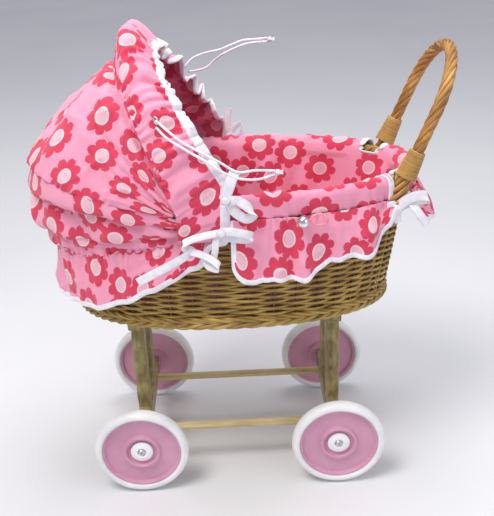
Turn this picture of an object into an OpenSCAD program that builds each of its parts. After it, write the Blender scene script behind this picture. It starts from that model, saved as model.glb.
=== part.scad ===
// Doll pram: an oval willow basket on two wooden leg frames and four spinning plastic wheels,
// with a twisted willow handle, a cloth liner and a cloth hood that folds back on two wire hoops.
// X runs along the pram with the handle at +X and the hood at -X; the floor is z = 0.

/* [Wheels] */
// Diameter of a wheel over its tyre
wheel_d = 120; // [100:1:140]
// Width of a tyre
tyre_w = 18; // [14:1:22]
// Distance between the hood-end and handle-end wheel centres
wheelbase = 253; // [240:1:270]
// Distance between the middle planes of the near and far tyres
track = 223; // [218:1:230]

/* [Leg frames] */
// Thickness of the boards the legs and beams are sawn from
board_t = 16; // [12:1:20]
// Height of an axle beam
beam_h = 26; // [22:1:32]
// Half the gap between the two legs of one frame
leg_in = 22; // [16:1:26]
// Outer edge of a leg, from the middle plane
leg_out = 47; // [42:1:52]
// Depth of the sawn waves on the leg edges
wave = 3; // [1:0.5:4]
// Diameter of the two stretcher dowels
dowel_d = 10; // [8:1:12]
// Distance of a stretcher dowel from the middle plane
dowel_y = 62; // [56:1:70]

/* [Basket] */
// Height of the base board's underside above the floor
base_z = 228; // [224:1:236]
// Height of the rim
rim_z = 400; // [390:1:410]
// Half the length of the basket at its foot
foot_a = 201; // [196:1:206]
// Half the width of the basket at its foot
foot_b = 106; // [102:1:108]
// Half the length of the basket at its rim
rim_a = 228; // [225:1:232]
// Half the width of the basket at its rim
rim_b = 117; // [115:1:118]
// Number of upright stakes
stake_n = 44; // [36:2:52]

/* [Handle] */
// Half the distance between the handle's feet
grip_half = 73; // [70:1:76]
// Height of the handle along its own slope
grip_h = 152; // [140:1:160]
// Backward lean of the handle from upright
grip_lean = 23.5; // [18:0.5:26]
// Diameter of the twisted handle bundle
grip_d = 14.5; // [12:0.5:16]

/* [Hood] */
// Distance of the hood pins behind the middle of the wheelbase
pin_x = 52; // [48:1:56]
// Height of the hood pins
pin_z = 383; // [380:1:386]
// Angle of the front hoop above the handle direction
front_ang = 112.5; // [111:0.5:114]
// Angle of the rear hoop above the handle direction
rear_ang = 165.5; // [164:0.5:167]
// Height of the front hoop from its pins
front_len = 173; // [170:1:176]
// Height of the rear hoop from its pins
rear_len = 189; // [186:1:191]
// Diameter of the hoop wire
wire_d = 3.2; // [3:0.2:3.6]

/* [Hidden] */
$fn = 96;

// The origin is under the middle of the overall length, so the wheelbase's middle is set back.
mid_x = -17;
wheel_r = wheel_d / 2;
axle_z = wheel_r;
wheel_y = track / 2;
beam_end = wheel_y - tyre_w / 2 - 2.5;
beam_top = axle_z + beam_h / 2;
rail_h = 16;
rail_z = base_z - rail_h;
screw_r = 2.2;
sleeve_r = 7;
run_gap = 0.05;
bush_out = wheel_y + 4;
rail_half = 70;
peg_r = 4;
board_z = 8;
n_foot = 2.2;
n_rim = 2.2;
wall_t = 5;
stake_r = 1.5;
cloth = 1.4;
segs = 48;
pin_y = 111;
pin_r = 2;
wire_r = wire_d / 2;
rear_half = 122.5;
front_half = 126.5;
eye_r = 4.5;
cord_d = 2.8;

// ---- curves -------------------------------------------------------------------------------

// Point at angle t on a superellipse of half-axes a and b and exponent n.
function se(a, b, n, t) = [
  a * sign(cos(t)) * pow(abs(cos(t)), 2 / n),
  b * sign(sin(t)) * pow(abs(sin(t)), 2 / n)];
function oval(a, b, n, z) = [for (i = [0:segs - 1]) let (p = se(a, b, n, 360 * i / segs)) [p[0], p[1], z]];
// The basket's outline at height z, grown outwards by g.
function share(z) = (z - base_z) / (rim_z - base_z);
function mix(a, b, s) = a + (b - a) * s;
function ramp(x, from, reach) = min(1, max(0, (x - from) / reach));
function wall_a(z) = mix(foot_a - 4, rim_a - 2, share(z));
function wall_b(z) = mix(foot_b - 4, rim_b - 2, share(z));
function wall_n(z) = mix(n_foot, n_rim, share(z));
function wall_ring(z, g) = oval(wall_a(z) + g, wall_b(z) + g, wall_n(z), z);
function wall_pt(t, z, g) = let (p = se(wall_a(z) + g, wall_b(z) + g, wall_n(z), t)) [p[0], p[1], z];
// Point at angle t on a hood hoop: t = 0 at the near pin, 180 at the far pin.
function hoop_pt(px, pz, ang, len, half, t, n = 2.2) =
  let (p = se(half, len, n, t))
  [px + p[1] * cos(ang), -p[0], pz + p[1] * sin(ang)];

// ---- solids from curves -------------------------------------------------------------------

function quad(a, b, c, d) = [[a, b, c], [a, c, d]];
// Closed band: every ring is skinned to the next and the last one to the first.
module band(rings) {
  m = len(rings);
  k = len(rings[0]);
  polyhedron([for (r = rings) each r],
    [for (i = [0:m - 1], j = [0:k - 1]) let (u = (i + 1) % m, v = (j + 1) % k)
      each quad(i * k + j, i * k + v, u * k + v, u * k + j)]);
}
// Stack of rings with a flat cap on the first and the last.
module stack(rings) {
  m = len(rings);
  k = len(rings[0]);
  polyhedron([for (r = rings) each r],
    concat(
      [for (i = [0:m - 2], j = [0:k - 1]) let (v = (j + 1) % k)
        each quad(i * k + j, i * k + v, (i + 1) * k + v, (i + 1) * k + j)],
      [[for (j = [k - 1:-1:0]) j]],
      [[for (j = [0:k - 1]) (m - 1) * k + j]]));
}
// Sheet of cloth between an outer and an inner grid of points.
module sheet(outer, inner) {
  loops = [for (i = [0:len(outer) - 1]) concat(outer[i], [for (j = [len(inner[i]) - 1:-1:0]) inner[i][j]])];
  stack(loops);
}
// Round tube of radius r along a path; side is a direction the path never follows.
function unit(v) = v / norm(v);
function tangent(p, i) = unit(p[min(i + 1, len(p) - 1)] - p[max(i - 1, 0)]);
function tube_rings(path, r, sides, side) = [
  for (i = [0:len(path) - 1])
    let (t = tangent(path, i), u = unit(cross(side, t)), v = cross(t, u))
    [for (j = [0:sides - 1]) path[i] + r * (cos(360 * j / sides) * v + sin(360 * j / sides) * u)]];
module tube(path, r, sides = 8, side = [0, 1, 0]) { stack(tube_rings(path, r, sides, side)); }
// Smooth curve of count steps through each pair of neighbours in a list of points.
function spline(p, i, s) =
  let (a = p[max(i - 1, 0)], b = p[i], c = p[i + 1], d = p[min(i + 2, len(p) - 1)])
  0.5 * (2 * b + (c - a) * s + (2 * a - 5 * b + 4 * c - d) * s * s + (3 * b - a - 3 * c + d) * s * s * s);
function smooth(p, count) = concat(
  [for (i = [0:len(p) - 2], k = [0:count - 1]) spline(p, i, k / count)], [p[len(p) - 1]]);

module place() { translate([mid_x, 0, 0]) children(); }
// end is -1 for the hood end and 1 for the handle end; side is -1 near and 1 far.
module at_hub(end, side) {
  place() translate([end * wheelbase / 2, 0, axle_z]) rotate([-side * 90, 0, 0]) children();
}

// ---- wheels -------------------------------------------------------------------------------
// A hub's own axis points outwards from the pram, with 0 in the middle plane of the pram.

module tyre(end, side) {
  color("white") at_hub(end, side) translate([0, 0, wheel_y]) rotate_extrude()
    polygon(concat(
      [[wheel_r - 9.6, -tyre_w / 2 + 2], [wheel_r - 7, -tyre_w / 2]],
      [for (a = [-75:15:75]) [wheel_r - 7 + 7 * cos(a), (tyre_w / 2) * sin(a)]],
      [[wheel_r - 7, tyre_w / 2], [wheel_r - 9.6, tyre_w / 2 - 2]]));
}

module wheel_disc(end, side) {
  rim_in = wheel_r - 13.6;
  color("hotpink") at_hub(end, side) translate([0, 0, wheel_y]) difference() {
    rotate_extrude() polygon([
      [sleeve_r, -tyre_w / 2 + 1], [19, -tyre_w / 2 + 1], [20.5, -1.5], [rim_in, -1.5],
      [rim_in + 1.4, -tyre_w / 2 + 3], [wheel_r - 9.7, -tyre_w / 2 + 3], [wheel_r - 9.7, tyre_w / 2 - 3],
      [rim_in + 1.4, tyre_w / 2 - 3], [rim_in, 1.5], [24.5, 1.5], [23.4, 6], [20, 6], [19.2, 3.5], [19.2, 1],
      [sleeve_r, 1]]);
    translate([0, 0, -tyre_w]) cylinder(r = sleeve_r + run_gap, h = 2 * tyre_w);
  }
}

module wheel_bushes() {
  color("white") for (end = [-1, 1], side = [-1, 1]) at_hub(end, side) difference() {
    union() {
      translate([0, 0, beam_end + 1.5]) cylinder(r = sleeve_r, h = wheel_y - beam_end);
      translate([0, 0, wheel_y + 1.3]) cylinder(r = 14.3, h = 2.2);
      translate([0, 0, wheel_y + 3.5]) cylinder(r1 = 14.3, r2 = 8, h = 2);
    }
    translate([0, 0, beam_end]) cylinder(r = screw_r, h = 40);
    translate([0, 0, wheel_y + 3.5]) cylinder(r = 5.2, h = 6);
  }
}

module axle_washers() {
  color("silver") for (end = [-1, 1], side = [-1, 1]) at_hub(end, side) translate([0, 0, beam_end])
    difference() {
      cylinder(r = 9, h = 1.2);
      translate([0, 0, -1]) cylinder(r = screw_r, h = 4);
    }
}

module axle_screws() {
  color("silver") for (end = [-1, 1], side = [-1, 1]) at_hub(end, side) difference() {
    union() {
      translate([0, 0, beam_end - 28]) cylinder(r = screw_r, h = wheel_y + 3.5 - beam_end + 28);
      translate([0, 0, wheel_y + 3.5]) cylinder(r1 = 5, r2 = 3.4, h = 2.6);
    }
    for (turn = [0, 90]) rotate([0, 0, turn]) translate([-2.4, -0.5, wheel_y + 4.6]) cube([4.8, 1, 3]);
  }
}

// ---- leg frames ---------------------------------------------------------------------------

module axle_beam(end) {
  color("goldenrod") difference() {
    place() translate([end * wheelbase / 2 - board_t / 2, -beam_end, axle_z - beam_h / 2])
      cube([board_t, 2 * beam_end, beam_h]);
    for (side = [-1, 1]) {
      at_hub(end, side) translate([0, 0, beam_end - 28]) cylinder(r = screw_r, h = 40);
      place() translate([end * wheelbase / 2, side * dowel_y, axle_z])
        rotate([0, 90, 0]) cylinder(r = dowel_d / 2, h = board_t + 2, center = true);
      place() translate([end * wheelbase / 2, side * (leg_in + leg_out) / 2, beam_top - 10])
        cylinder(r = peg_r, h = 20);
    }
  }
}

// A leg is a sawn board whose two long edges wave in step, as if turned.
module leg(end, side) {
  z0 = beam_top;
  z1 = rail_z;
  steps = 36;
  zs = [for (i = [0:steps]) mix(z0, z1, i / steps)];
  function ripple(z) = wave * cos(360 * (z - 101) / 40) * min(1, (z - z0) / 8, (z1 - z) / 8);
  color("goldenrod") difference() {
    place() translate([end * wheelbase / 2 - board_t / 2, 0, 0])
      rotate([90, 0, 90]) linear_extrude(board_t) polygon(concat(
        [for (z = zs) [side * (leg_out + ripple(z)), z]],
        [for (i = [steps:-1:0]) [side * (leg_in - ripple(zs[i])), zs[i]]]));
    for (z = [z0 - 1, z1 - 9]) place()
      translate([end * wheelbase / 2, side * (leg_in + leg_out) / 2, z]) cylinder(r = peg_r, h = 10);
  }
}

module top_rail(end) {
  color("goldenrod") difference() {
    place() translate([end * wheelbase / 2 - board_t / 2, -rail_half, rail_z]) cube([board_t, 2 * rail_half, rail_h]);
    for (side = [-1, 1]) place() {
      translate([end * wheelbase / 2, side * (leg_in + leg_out) / 2, rail_z - 1]) cylinder(r = peg_r, h = 9);
      translate([end * wheelbase / 2, side * 60, rail_z - 1]) cylinder(r = 1.8, h = rail_h + 2);
    }
  }
}

module leg_pegs() {
  color("burlywood") for (end = [-1, 1], side = [-1, 1], z = [beam_top - 10, rail_z - 9])
    place() translate([end * wheelbase / 2, side * (leg_in + leg_out) / 2, z])
      cylinder(r = peg_r, h = z > beam_top ? 17 : 19);
}

module rail_screws() {
  color("silver") for (end = [-1, 1], side = [-1, 1]) place()
    translate([end * wheelbase / 2, side * 60, rail_z - 2]) {
      cylinder(r = 3.6, h = 2);
      cylinder(r = 1.8, h = rail_h + 2 + 6);
    }
}

module stretcher(side) {
  reach = wheelbase / 2 + board_t / 2;
  color("wheat") place() translate([-reach, side * dowel_y, axle_z]) rotate([0, 90, 0])
    cylinder(r = dowel_d / 2, h = 2 * reach);
}

// ---- basket -------------------------------------------------------------------------------

module base_board() {
  color("tan") difference() {
    place() translate([0, 0, base_z]) linear_extrude(board_z)
      polygon([for (i = [0:segs - 1]) se(foot_a - 14, foot_b - 14, n_foot, 360 * i / segs)]);
    for (end = [-1, 1], side = [-1, 1]) place()
      translate([end * wheelbase / 2, side * 60, base_z - 1]) cylinder(r = 1.8, h = 7);
  }
}

module foot_border() {
  color("peru") place() band([
    for (p = [[-13.5, 0], [-4, -2], [0, 4], [-1, 10], [-6, 13], [-13.5, 9]])
      oval(foot_a + p[0], foot_b + p[0], n_foot, base_z + p[1])]);
}

wall_z0 = base_z + 13.3;
wall_z1 = rim_z - 10.3;
module basket_wall() {
  color("peru") place() band([
    wall_ring(wall_z0, -wall_t), wall_ring(wall_z0, 0), wall_ring(wall_z1, 0), wall_ring(wall_z1, -wall_t)]);
}

module stakes() {
  inset = -wall_t - stake_r - 0.3;
  color("saddlebrown") place() for (i = [0:stake_n - 1]) {
    t = 360 * (i + 0.5) / stake_n;
    foot = wall_pt(t, base_z + 9.4, inset - 1.2);
    head = wall_pt(t, rim_z - 11, inset);
    d = head - foot;
    translate(foot) rotate([0, acos(d[2] / norm(d)), atan2(d[1], d[0])]) cylinder(r = stake_r, h = norm(d), $fn = 24);
  }
}

module rim_border() {
  color("peru") place() band([
    for (p = [[-10, -9], [-3, -10], [0, -5], [-1, -1], [-6, 1], [-11, -2]])
      oval(rim_a + p[0], rim_b + p[0], n_rim, rim_z + p[1])]);
}

// ---- handle -------------------------------------------------------------------------------

foot_x = 206;
foot_z = rim_z - 2;
// Point of the handle's middle line: u across the pram and v up the handle's slope.
function grip_pt(u, v) = [foot_x + v * sin(grip_lean), u, foot_z + v * cos(grip_lean)];
grip_straight = grip_h * 0.55;
grip_root = 36;
grip_top = grip_half * 0.96;
grip_path = concat(
  [for (i = [0:8]) grip_pt(-mix(grip_half, grip_top, i / 8), -grip_root + (grip_straight + grip_root) * i / 8)],
  [for (a = [15:15:165]) grip_pt(-grip_top * cos(a), grip_straight + (grip_h - grip_straight) * sin(a))],
  [for (i = [8:-1:0]) grip_pt(mix(grip_half, grip_top, i / 8), -grip_root + (grip_straight + grip_root) * i / 8)]);

module handle_rods() { color("peru") place() tube(grip_path, grip_d / 2, 12, [cos(grip_lean), 0, -sin(grip_lean)]); }

module binding(side) {
  color("burlywood") place() translate(grip_pt(side * (grip_half + 0.2), 4)) rotate([side * 3, grip_lean, 0])
    difference() {
      cylinder(r1 = 13, r2 = grip_d / 2 + 2.2, h = 34);
      translate([0, 0, -1]) cylinder(r = grip_d / 2 + 0.3, h = 36);
    }
}

// ---- cloth on the basket ------------------------------------------------------------------

// The liner is a bag with a floor; its mouth folds out over the rim down to the gathering line.
gather_z = rim_z - 24;
module basket_liner() {
  in = -wall_t - 2 * stake_r - 2;
  floor_z = base_z + board_z + 1;
  inner = [
    wall_ring(floor_z + cloth, in - cloth - 4), wall_ring(rim_z - 14, in - cloth - 3),
    wall_ring(rim_z + 1, in - cloth - 4), oval(rim_a - 5, rim_b - 5, n_rim, rim_z + 3.6),
    oval(rim_a + 4, rim_b + 4, n_rim, rim_z), oval(rim_a + 4, rim_b + 4, n_rim, gather_z)];
  outer = [
    oval(rim_a + 4 - cloth, rim_b + 4 - cloth, n_rim, gather_z),
    oval(rim_a + 4 - cloth, rim_b + 4 - cloth, n_rim, rim_z - 1),
    oval(rim_a - 5, rim_b - 5, n_rim, rim_z + 3.6 - cloth),
    wall_ring(rim_z, in - 4), wall_ring(rim_z - 14, in - 3), wall_ring(floor_z, in - 4)];
  color("pink") difference() {
    place() stack(concat(inner, outer));
    for (side = [-1, 1]) place() translate([foot_x - 3, side * grip_half, rim_z - 20]) cube([34, 34, 120], center = true);
  }
}

// Gathered skirt below the liner's fold, from angle t0 to t1 round the rim, with a scalloped hem.
hem_rise = 26;
function skirt_hem(x) = rim_z - 96 + hem_rise * pow(max(0, x - 60) / 140, 1.6);
function skirt_pt(t, s, g) =
  let (p = se(rim_a + 5 + g, rim_b + 5 + g, n_rim, t), z = mix(gather_z - 0.4, skirt_hem(p[0]), s),
       f = 9 * s + 1.5 * s * sin(t * 22))
  [p[0] * (1 + f / rim_a), p[1] * (1 + f / rim_b), z];
module skirt(t0, t1) {
  n = 30;
  rows = [0, 0.5, 1];
  color("pink") place() sheet(
    [for (i = [0:n]) [for (s = rows) skirt_pt(mix(t0, t1, i / n), s, cloth)]],
    [for (i = [0:n]) [for (s = rows) skirt_pt(mix(t0, t1, i / n), s, 0)]]);
}

button_x = 83;
button_y = rim_b + 14;
button_z = gather_z - 1;
module side_buttons() {
  color("silver") for (side = [-1, 1]) place() translate([button_x, side * button_y, button_z]) {
    sphere(r = 7, $fn = 48);
    rotate([side * 90, 0, 0]) cylinder(r = 1.5, h = 12, $fn = 32);
  }
}

module button_loops() {
  color("pink") for (side = [-1, 1]) place()
    translate([button_x + 18, side * (button_y - 3.5), button_z]) rotate([90, 0, 0])
      rotate_extrude($fn = 48) translate([8, 0]) circle(r = 1.3, $fn = 24);
}

// A tape bow in an upright plane: two loops, two tails, a knot, and the tie that runs back to the basket.
module bow(x, y, z, turn, reach, loop = 14, tail = 34) {
  tape_t = 1.2;
  color("white") place() translate([x, y, z]) rotate([90, 0, turn]) {
    linear_extrude(3, center = true) circle(r = 5, $fn = 32);
    translate([0, 0, -reach]) cylinder(r = 2.5, h = reach, $fn = 32);
    for (s = [-1, 1]) linear_extrude(tape_t, center = true) {
      translate([s * (loop / 2 + 5), 2]) difference() {
        circle(r = loop / 2 + 1.5, $fn = 32);
        circle(r = loop / 2 - 2.5, $fn = 32);
      }
      rotate([0, 0, s * 28]) translate([-3.5, -tail]) square([7, tail]);
    }
  }
}

// ---- hood ---------------------------------------------------------------------------------

module hood_pins() {
  color("silver") for (side = [-1, 1]) place() translate([-pin_x, side * pin_y, pin_z]) rotate([-side * 90, 0, 0]) {
    cylinder(r = pin_r, h = front_half + 2.5 - pin_y);
    translate([0, 0, front_half + 2 - pin_y]) cylinder(r = 3.4, h = 1.4);
  }
}

module hoop(ang, len, half) {
  ts = [for (i = [0:36]) mix(0.75, 179.25, i / 36)];
  color("silver") difference() {
    place() union() {
      tube([for (t = ts) hoop_pt(-pin_x, pin_z, ang, len, half, t)], wire_r, 8, [-sin(ang), 0, cos(ang)]);
      for (side = [-1, 1]) translate([-pin_x, side * half, pin_z]) rotate([90, 0, 0])
        cylinder(r = eye_r, h = 2.6, center = true, $fn = 48);
    }
    for (side = [-1, 1]) place() translate([-pin_x, side * half, pin_z]) rotate([90, 0, 0])
      cylinder(r = pin_r + run_gap, h = 8, center = true, $fn = 48);
  }
}

// Brim: cloth from the front hoop to the edge round the opening; its crest stands up.
edge_x = 18;
edge_z = 392;
edge_ang = 122;
edge_len = 180;
function brim_pt(t, s, g) =
  let (a = hoop_pt(-pin_x, pin_z, front_ang, front_len + 3.2 + g, front_half + 2.6 + g, t),
       b = hoop_pt(edge_x, edge_z, edge_ang, edge_len + g, 123.5 + g, t, 2.1),
       up = pow(sin(t), 3), bulge = 30 * up * sin(180 * pow(s, 0.8)))
  mix(a, b, s) + [-0.15 * bulge, 0, bulge];
module hood_brim() {
  ts = [for (i = [0:32]) mix(2, 178, i / 32)];
  ss = [for (i = [0:5]) mix(0.06, 1, i / 5)];
  color("pink") place() sheet(
    [for (t = ts) [for (s = ss) brim_pt(t, s, cloth)]],
    [for (t = ts) [for (s = ss) brim_pt(t, s, 0)]]);
}

// Crown: cloth stretched between the two hoops, a little flatter than an arc.
function crown_pt(t, s, g) =
  let (ang = mix(front_ang + 0.9, rear_ang - 0.9, s), dip = 15 * sin(180 * s) * pow(sin(t), 0.6),
       len = mix(front_len, rear_len, s) + 2.6 - dip + g)
  hoop_pt(-pin_x, pin_z, ang, len, mix(front_half, rear_half + 3, s) + 2.4 + g, t);
module hood_crown() {
  ts = [for (i = [0:32]) mix(7, 173, i / 32)];
  ss = [for (i = [0:6]) i / 6];
  color("lightpink") place() sheet(
    [for (t = ts) [for (s = ss) crown_pt(t, s, cloth)]],
    [for (t = ts) [for (s = ss) crown_pt(t, s, 0)]]);
}

// Drop: cloth from the rear hoop down over the rim to the gathering line round the hood end.
function hood_t(t, from = 103) = mix(from, 360 - from, t / 180);
function gather_h(x) = mix(350, 318, ramp(-x, pin_x, 150));
function drop_pt(t, s, g) =
  let (h = hoop_pt(-pin_x, pin_z, rear_ang + 1.2, rear_len + 2.4, rear_half + 5.4, 180 - t),
       q = se(rim_a + 6, rim_b + 7, n_rim, hood_t(t)), zg = gather_h(q[0]), w = wall_pt(hood_t(t), zg, 6),
       top = [h[0], h[1], h[2] - 2.4], mid = [q[0], q[1], rim_z - 20],
       p = s < 0.5 ? mix(top, mid, 2 * s) : mix(mid, w, 2 * s - 1), r = norm([p[0], p[1]]))
  [p[0] * (1 + g / r), p[1] * (1 + g / r), p[2]];
module hood_drop() {
  ts = [for (i = [0:32]) mix(8, 172, i / 32)];
  ss = [0, 0.25, 0.5, 0.75, 1];
  color("pink") place() sheet(
    [for (t = ts) [for (s = ss) drop_pt(t, s, cloth)]],
    [for (t = ts) [for (s = ss) drop_pt(t, s, 0)]]);
}

// Hood skirt: from the gathering line down to a hem that drops towards the hood end. At each side its
// front corner stands up beside the pins and closes the side of the basket.
function hood_hem(x) = mix(322, 250, pow(ramp(-x, 35, 170), 0.8)) + 28 * ramp(x, -38, 12);
function hood_skirt_pt(t, s, g) =
  let (turn = hood_t(t, 90.5), x = se(rim_a, rim_b, n_rim, turn)[0], front = ramp(x, -62, 16),
       z = mix(gather_h(x) - 0.4 + 24 * front, hood_hem(x), s),
       w = wall_pt(turn, z, 6.5 + (13 - 6.5 * front) * s), r = norm([w[0], w[1]]))
  [w[0] * (1 + g / r), w[1] * (1 + g / r), z];
module hood_skirt() {
  ts = [for (i = [0:44]) mix(0, 180, i / 44)];
  ss = [0, 0.5, 1];
  color("pink") place() sheet(
    [for (t = ts) [for (s = ss) hood_skirt_pt(t, s, cloth)]],
    [for (t = ts) [for (s = ss) hood_skirt_pt(t, s, 0)]]);
}

// ---- elastic cords on the brim ------------------------------------------------------------
// Each loop is two strands from one stitch on the brim to a shared knot.
near_a = [[-74, -108, 492], [-62, -117, 483], [-46, -124, 471], [-26, -129, 460], [-6, -133, 449], [12, -134, 438],
  [32, -131, 438], [53, -126, 435]];
near_b = [[-74, -111, 485], [-62, -121, 475], [-42, -128, 463], [-20, -133, 450], [-2, -136, 438], [14, -136, 431],
  [34, -132, 428], [53, -126, 431]];
near_knot = [56, -126, 433];
far_a = [[-48, 60, 513], [-38, 64, 522], [-22, 64, 528], [-3, 62, 532], [12, 59, 538], [26, 57, 543],
  [42, 56, 544], [56, 55, 545]];
far_b = [[-44, 64, 506], [-33, 68, 506], [-20, 67, 510], [-10, 64, 519], [0, 57, 527], [14, 53, 534],
  [32, 52, 540], [56, 54, 541]];
far_knot = [59, 55, 543];

module strand(route) { color("white") place() tube(smooth(route, 2), cord_d / 2, 8, [0, 0.5, 1]); }
module cord_knot(p) { color("white") place() translate(p) sphere(r = 3.6, $fn = 32); }

tyre(-1, -1);  // tyre_hood_near
tyre(-1, 1);  // tyre_hood_far
tyre(1, -1);  // tyre_handle_near
tyre(1, 1);  // tyre_handle_far
wheel_disc(-1, -1);  // wheel_disc_hood_near
wheel_disc(-1, 1);  // wheel_disc_hood_far
wheel_disc(1, -1);  // wheel_disc_handle_near
wheel_disc(1, 1);  // wheel_disc_handle_far
wheel_bushes();
axle_washers();
axle_screws();
axle_beam(-1);  // axle_beam_hood
axle_beam(1);  // axle_beam_handle
leg(-1, -1);  // leg_hood_near
leg(-1, 1);  // leg_hood_far
leg(1, -1);  // leg_handle_near
leg(1, 1);  // leg_handle_far
top_rail(-1);  // top_rail_hood
top_rail(1);  // top_rail_handle
leg_pegs();
rail_screws();
stretcher(-1);  // stretcher_near
stretcher(1);  // stretcher_far
base_board();
foot_border();
basket_wall();
stakes();
rim_border();
handle_rods();
binding(-1);  // binding_near
binding(1);  // binding_far
basket_liner();
skirt(-89, -40);  // skirt_near
mirror([0, 1, 0]) skirt(-89, -40);  // skirt_far
skirt(-22, 22);  // skirt_end
side_buttons();
button_loops();
bow(-2, -135, 402, 0, 7);  // bow_top_near
bow(-2, 135, 402, 180, 7);  // bow_top_far
bow(-22, -134, 356, 0, 9.4);  // bow_low_near
bow(-22, 134, 356, 180, 9.4);  // bow_low_far
bow(199, -82, 364, 40, 4.4, 12, 24);  // bow_end_near
bow(199, 82, 364, 140, 4.4, 12, 24);  // bow_end_far
hood_pins();
hoop(rear_ang, rear_len, rear_half);  // rear_hoop
hoop(front_ang, front_len, front_half);  // front_hoop
hood_brim();
hood_crown();
hood_drop();
hood_skirt();
strand(near_a);  // hood_cord_near_a
strand(near_b);  // hood_cord_near_b
strand(far_a);  // hood_cord_far_a
strand(far_b);  // hood_cord_far_b
cord_knot(near_knot);  // cord_knot_near
cord_knot(far_knot);  // cord_knot_far
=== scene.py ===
# %% [markdown]
# # A doll's pram, piece by piece
# The real object is a willow basket on two sawn wooden end frames, with four plastic wheels, a twisted
# willow handle, a cotton liner and a cotton hood that folds back on two wire hoops. The engineering model
# is loaded first as a fixed frame in metres. Every visible piece below is made round it, and all but the
# hood's crown and drop ride on one of its bodies.

# %% Load the frame
import math

import bmesh
import bpy
import numpy as np
from mathutils import Matrix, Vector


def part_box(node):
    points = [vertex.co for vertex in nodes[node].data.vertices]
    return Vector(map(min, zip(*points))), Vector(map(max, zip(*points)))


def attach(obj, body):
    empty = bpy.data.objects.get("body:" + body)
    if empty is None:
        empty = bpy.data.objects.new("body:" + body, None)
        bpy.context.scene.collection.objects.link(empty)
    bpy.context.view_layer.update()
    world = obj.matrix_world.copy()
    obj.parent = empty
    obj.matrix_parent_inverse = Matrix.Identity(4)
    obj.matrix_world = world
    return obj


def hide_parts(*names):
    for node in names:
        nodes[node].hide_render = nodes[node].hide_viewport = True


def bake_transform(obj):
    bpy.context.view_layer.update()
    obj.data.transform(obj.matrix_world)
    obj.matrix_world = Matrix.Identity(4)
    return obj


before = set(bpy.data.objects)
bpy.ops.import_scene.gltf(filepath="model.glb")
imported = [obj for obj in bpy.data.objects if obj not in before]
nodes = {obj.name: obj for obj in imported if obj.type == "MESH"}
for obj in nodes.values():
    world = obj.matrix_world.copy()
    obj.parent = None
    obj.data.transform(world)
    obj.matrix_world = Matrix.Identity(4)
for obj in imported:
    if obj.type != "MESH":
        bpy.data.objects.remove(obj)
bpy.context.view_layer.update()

# %% [markdown]
# ## Sizes
# A handful of lengths describe the pram. Those that the model can tell are read from its boxes, so that a
# piece always lands where the model is; the rest repeat the model's own driving sizes, in metres.

# %% Read the sizes
board_low, board_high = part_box("base_board")
MID = (board_low.x + board_high.x) / 2          # middle of the wheelbase along the pram
BASE_Z = board_low.z                            # underside of the basket
RIM_Z = 0.400
FOOT_A, FOOT_B, POWER_FOOT = 0.201, 0.106, 2.2  # half length, half width and squareness of the foot
RIM_A, RIM_B, POWER_RIM = 0.228, 0.117, 2.2
WHEEL_R, TYRE_W, HALF_BASE, WHEEL_Y = 0.060, 0.018, 0.1265, 0.1115
PIN = np.array([-0.052, 0.0, 0.383])            # the hood's hinge line, measured from MID
FRONT = dict(tilt=112.5, rise=0.173, half=0.1265)
REAR = dict(tilt=165.5, rise=0.189, half=0.1225)
GATHER_Z = RIM_Z - 0.024
ENDS, SIDES = ((-1, "hood"), (1, "handle")), ((-1, "near"), (1, "far"))
CLOTH_THICK = 0.0011
print(f"middle {MID:.4f}, base {BASE_Z:.4f}")

# %% [markdown]
# ## Camera
# The camera comes first, because the loose cords are judged through it. It stands about a metre in front of
# the pram and three quarters of a metre up, looks down by some 25 degrees, and is tipped sideways a little,
# as a camera in the hand is. Its axes are worked out from those three turns.


# %% Camera
def camera_axes(yaw, pitch, roll):
    """Right, up and back axes of a camera that starts level, looking along +Y: it turns by yaw towards +X,
    tips down by pitch, and rolls about its own line of sight."""
    y, p, r = np.radians([yaw, pitch, roll])
    ahead = np.array([math.sin(y) * math.cos(p), math.cos(y) * math.cos(p), -math.sin(p)])
    right = np.array([math.cos(y), -math.sin(y), 0.0])
    up = np.cross(right, ahead)
    return (math.cos(r) * right + math.sin(r) * up, math.cos(r) * up - math.sin(r) * right, -ahead)


camera = bpy.data.objects.new("camera", bpy.data.cameras.new("camera"))
bpy.context.scene.collection.objects.link(camera)
camera.data.lens = 60.9
camera.data.sensor_width = 36.0
seat = Matrix(np.column_stack(camera_axes(0.43, 24.58, -2.4)).tolist()).to_4x4()
seat.translation = (MID + 0.0117, -1.0332, 0.7466)
camera.matrix_world = seat
bpy.context.scene.camera = camera
print("camera at", tuple(round(v, 3) for v in camera.location))

# %% [markdown]
# ## Meshes from grids
# Nearly every piece here is a sheet or a tube, and both are a grid of points: rows along the piece, columns
# across it. One helper joins a grid into faces. A tube closes round its columns, a ring closes along its
# rows, and a flat cap of one face closes an open end. The grid also carries a map in metres, so that a
# printed or woven pattern keeps its true size on the cloth.


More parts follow.
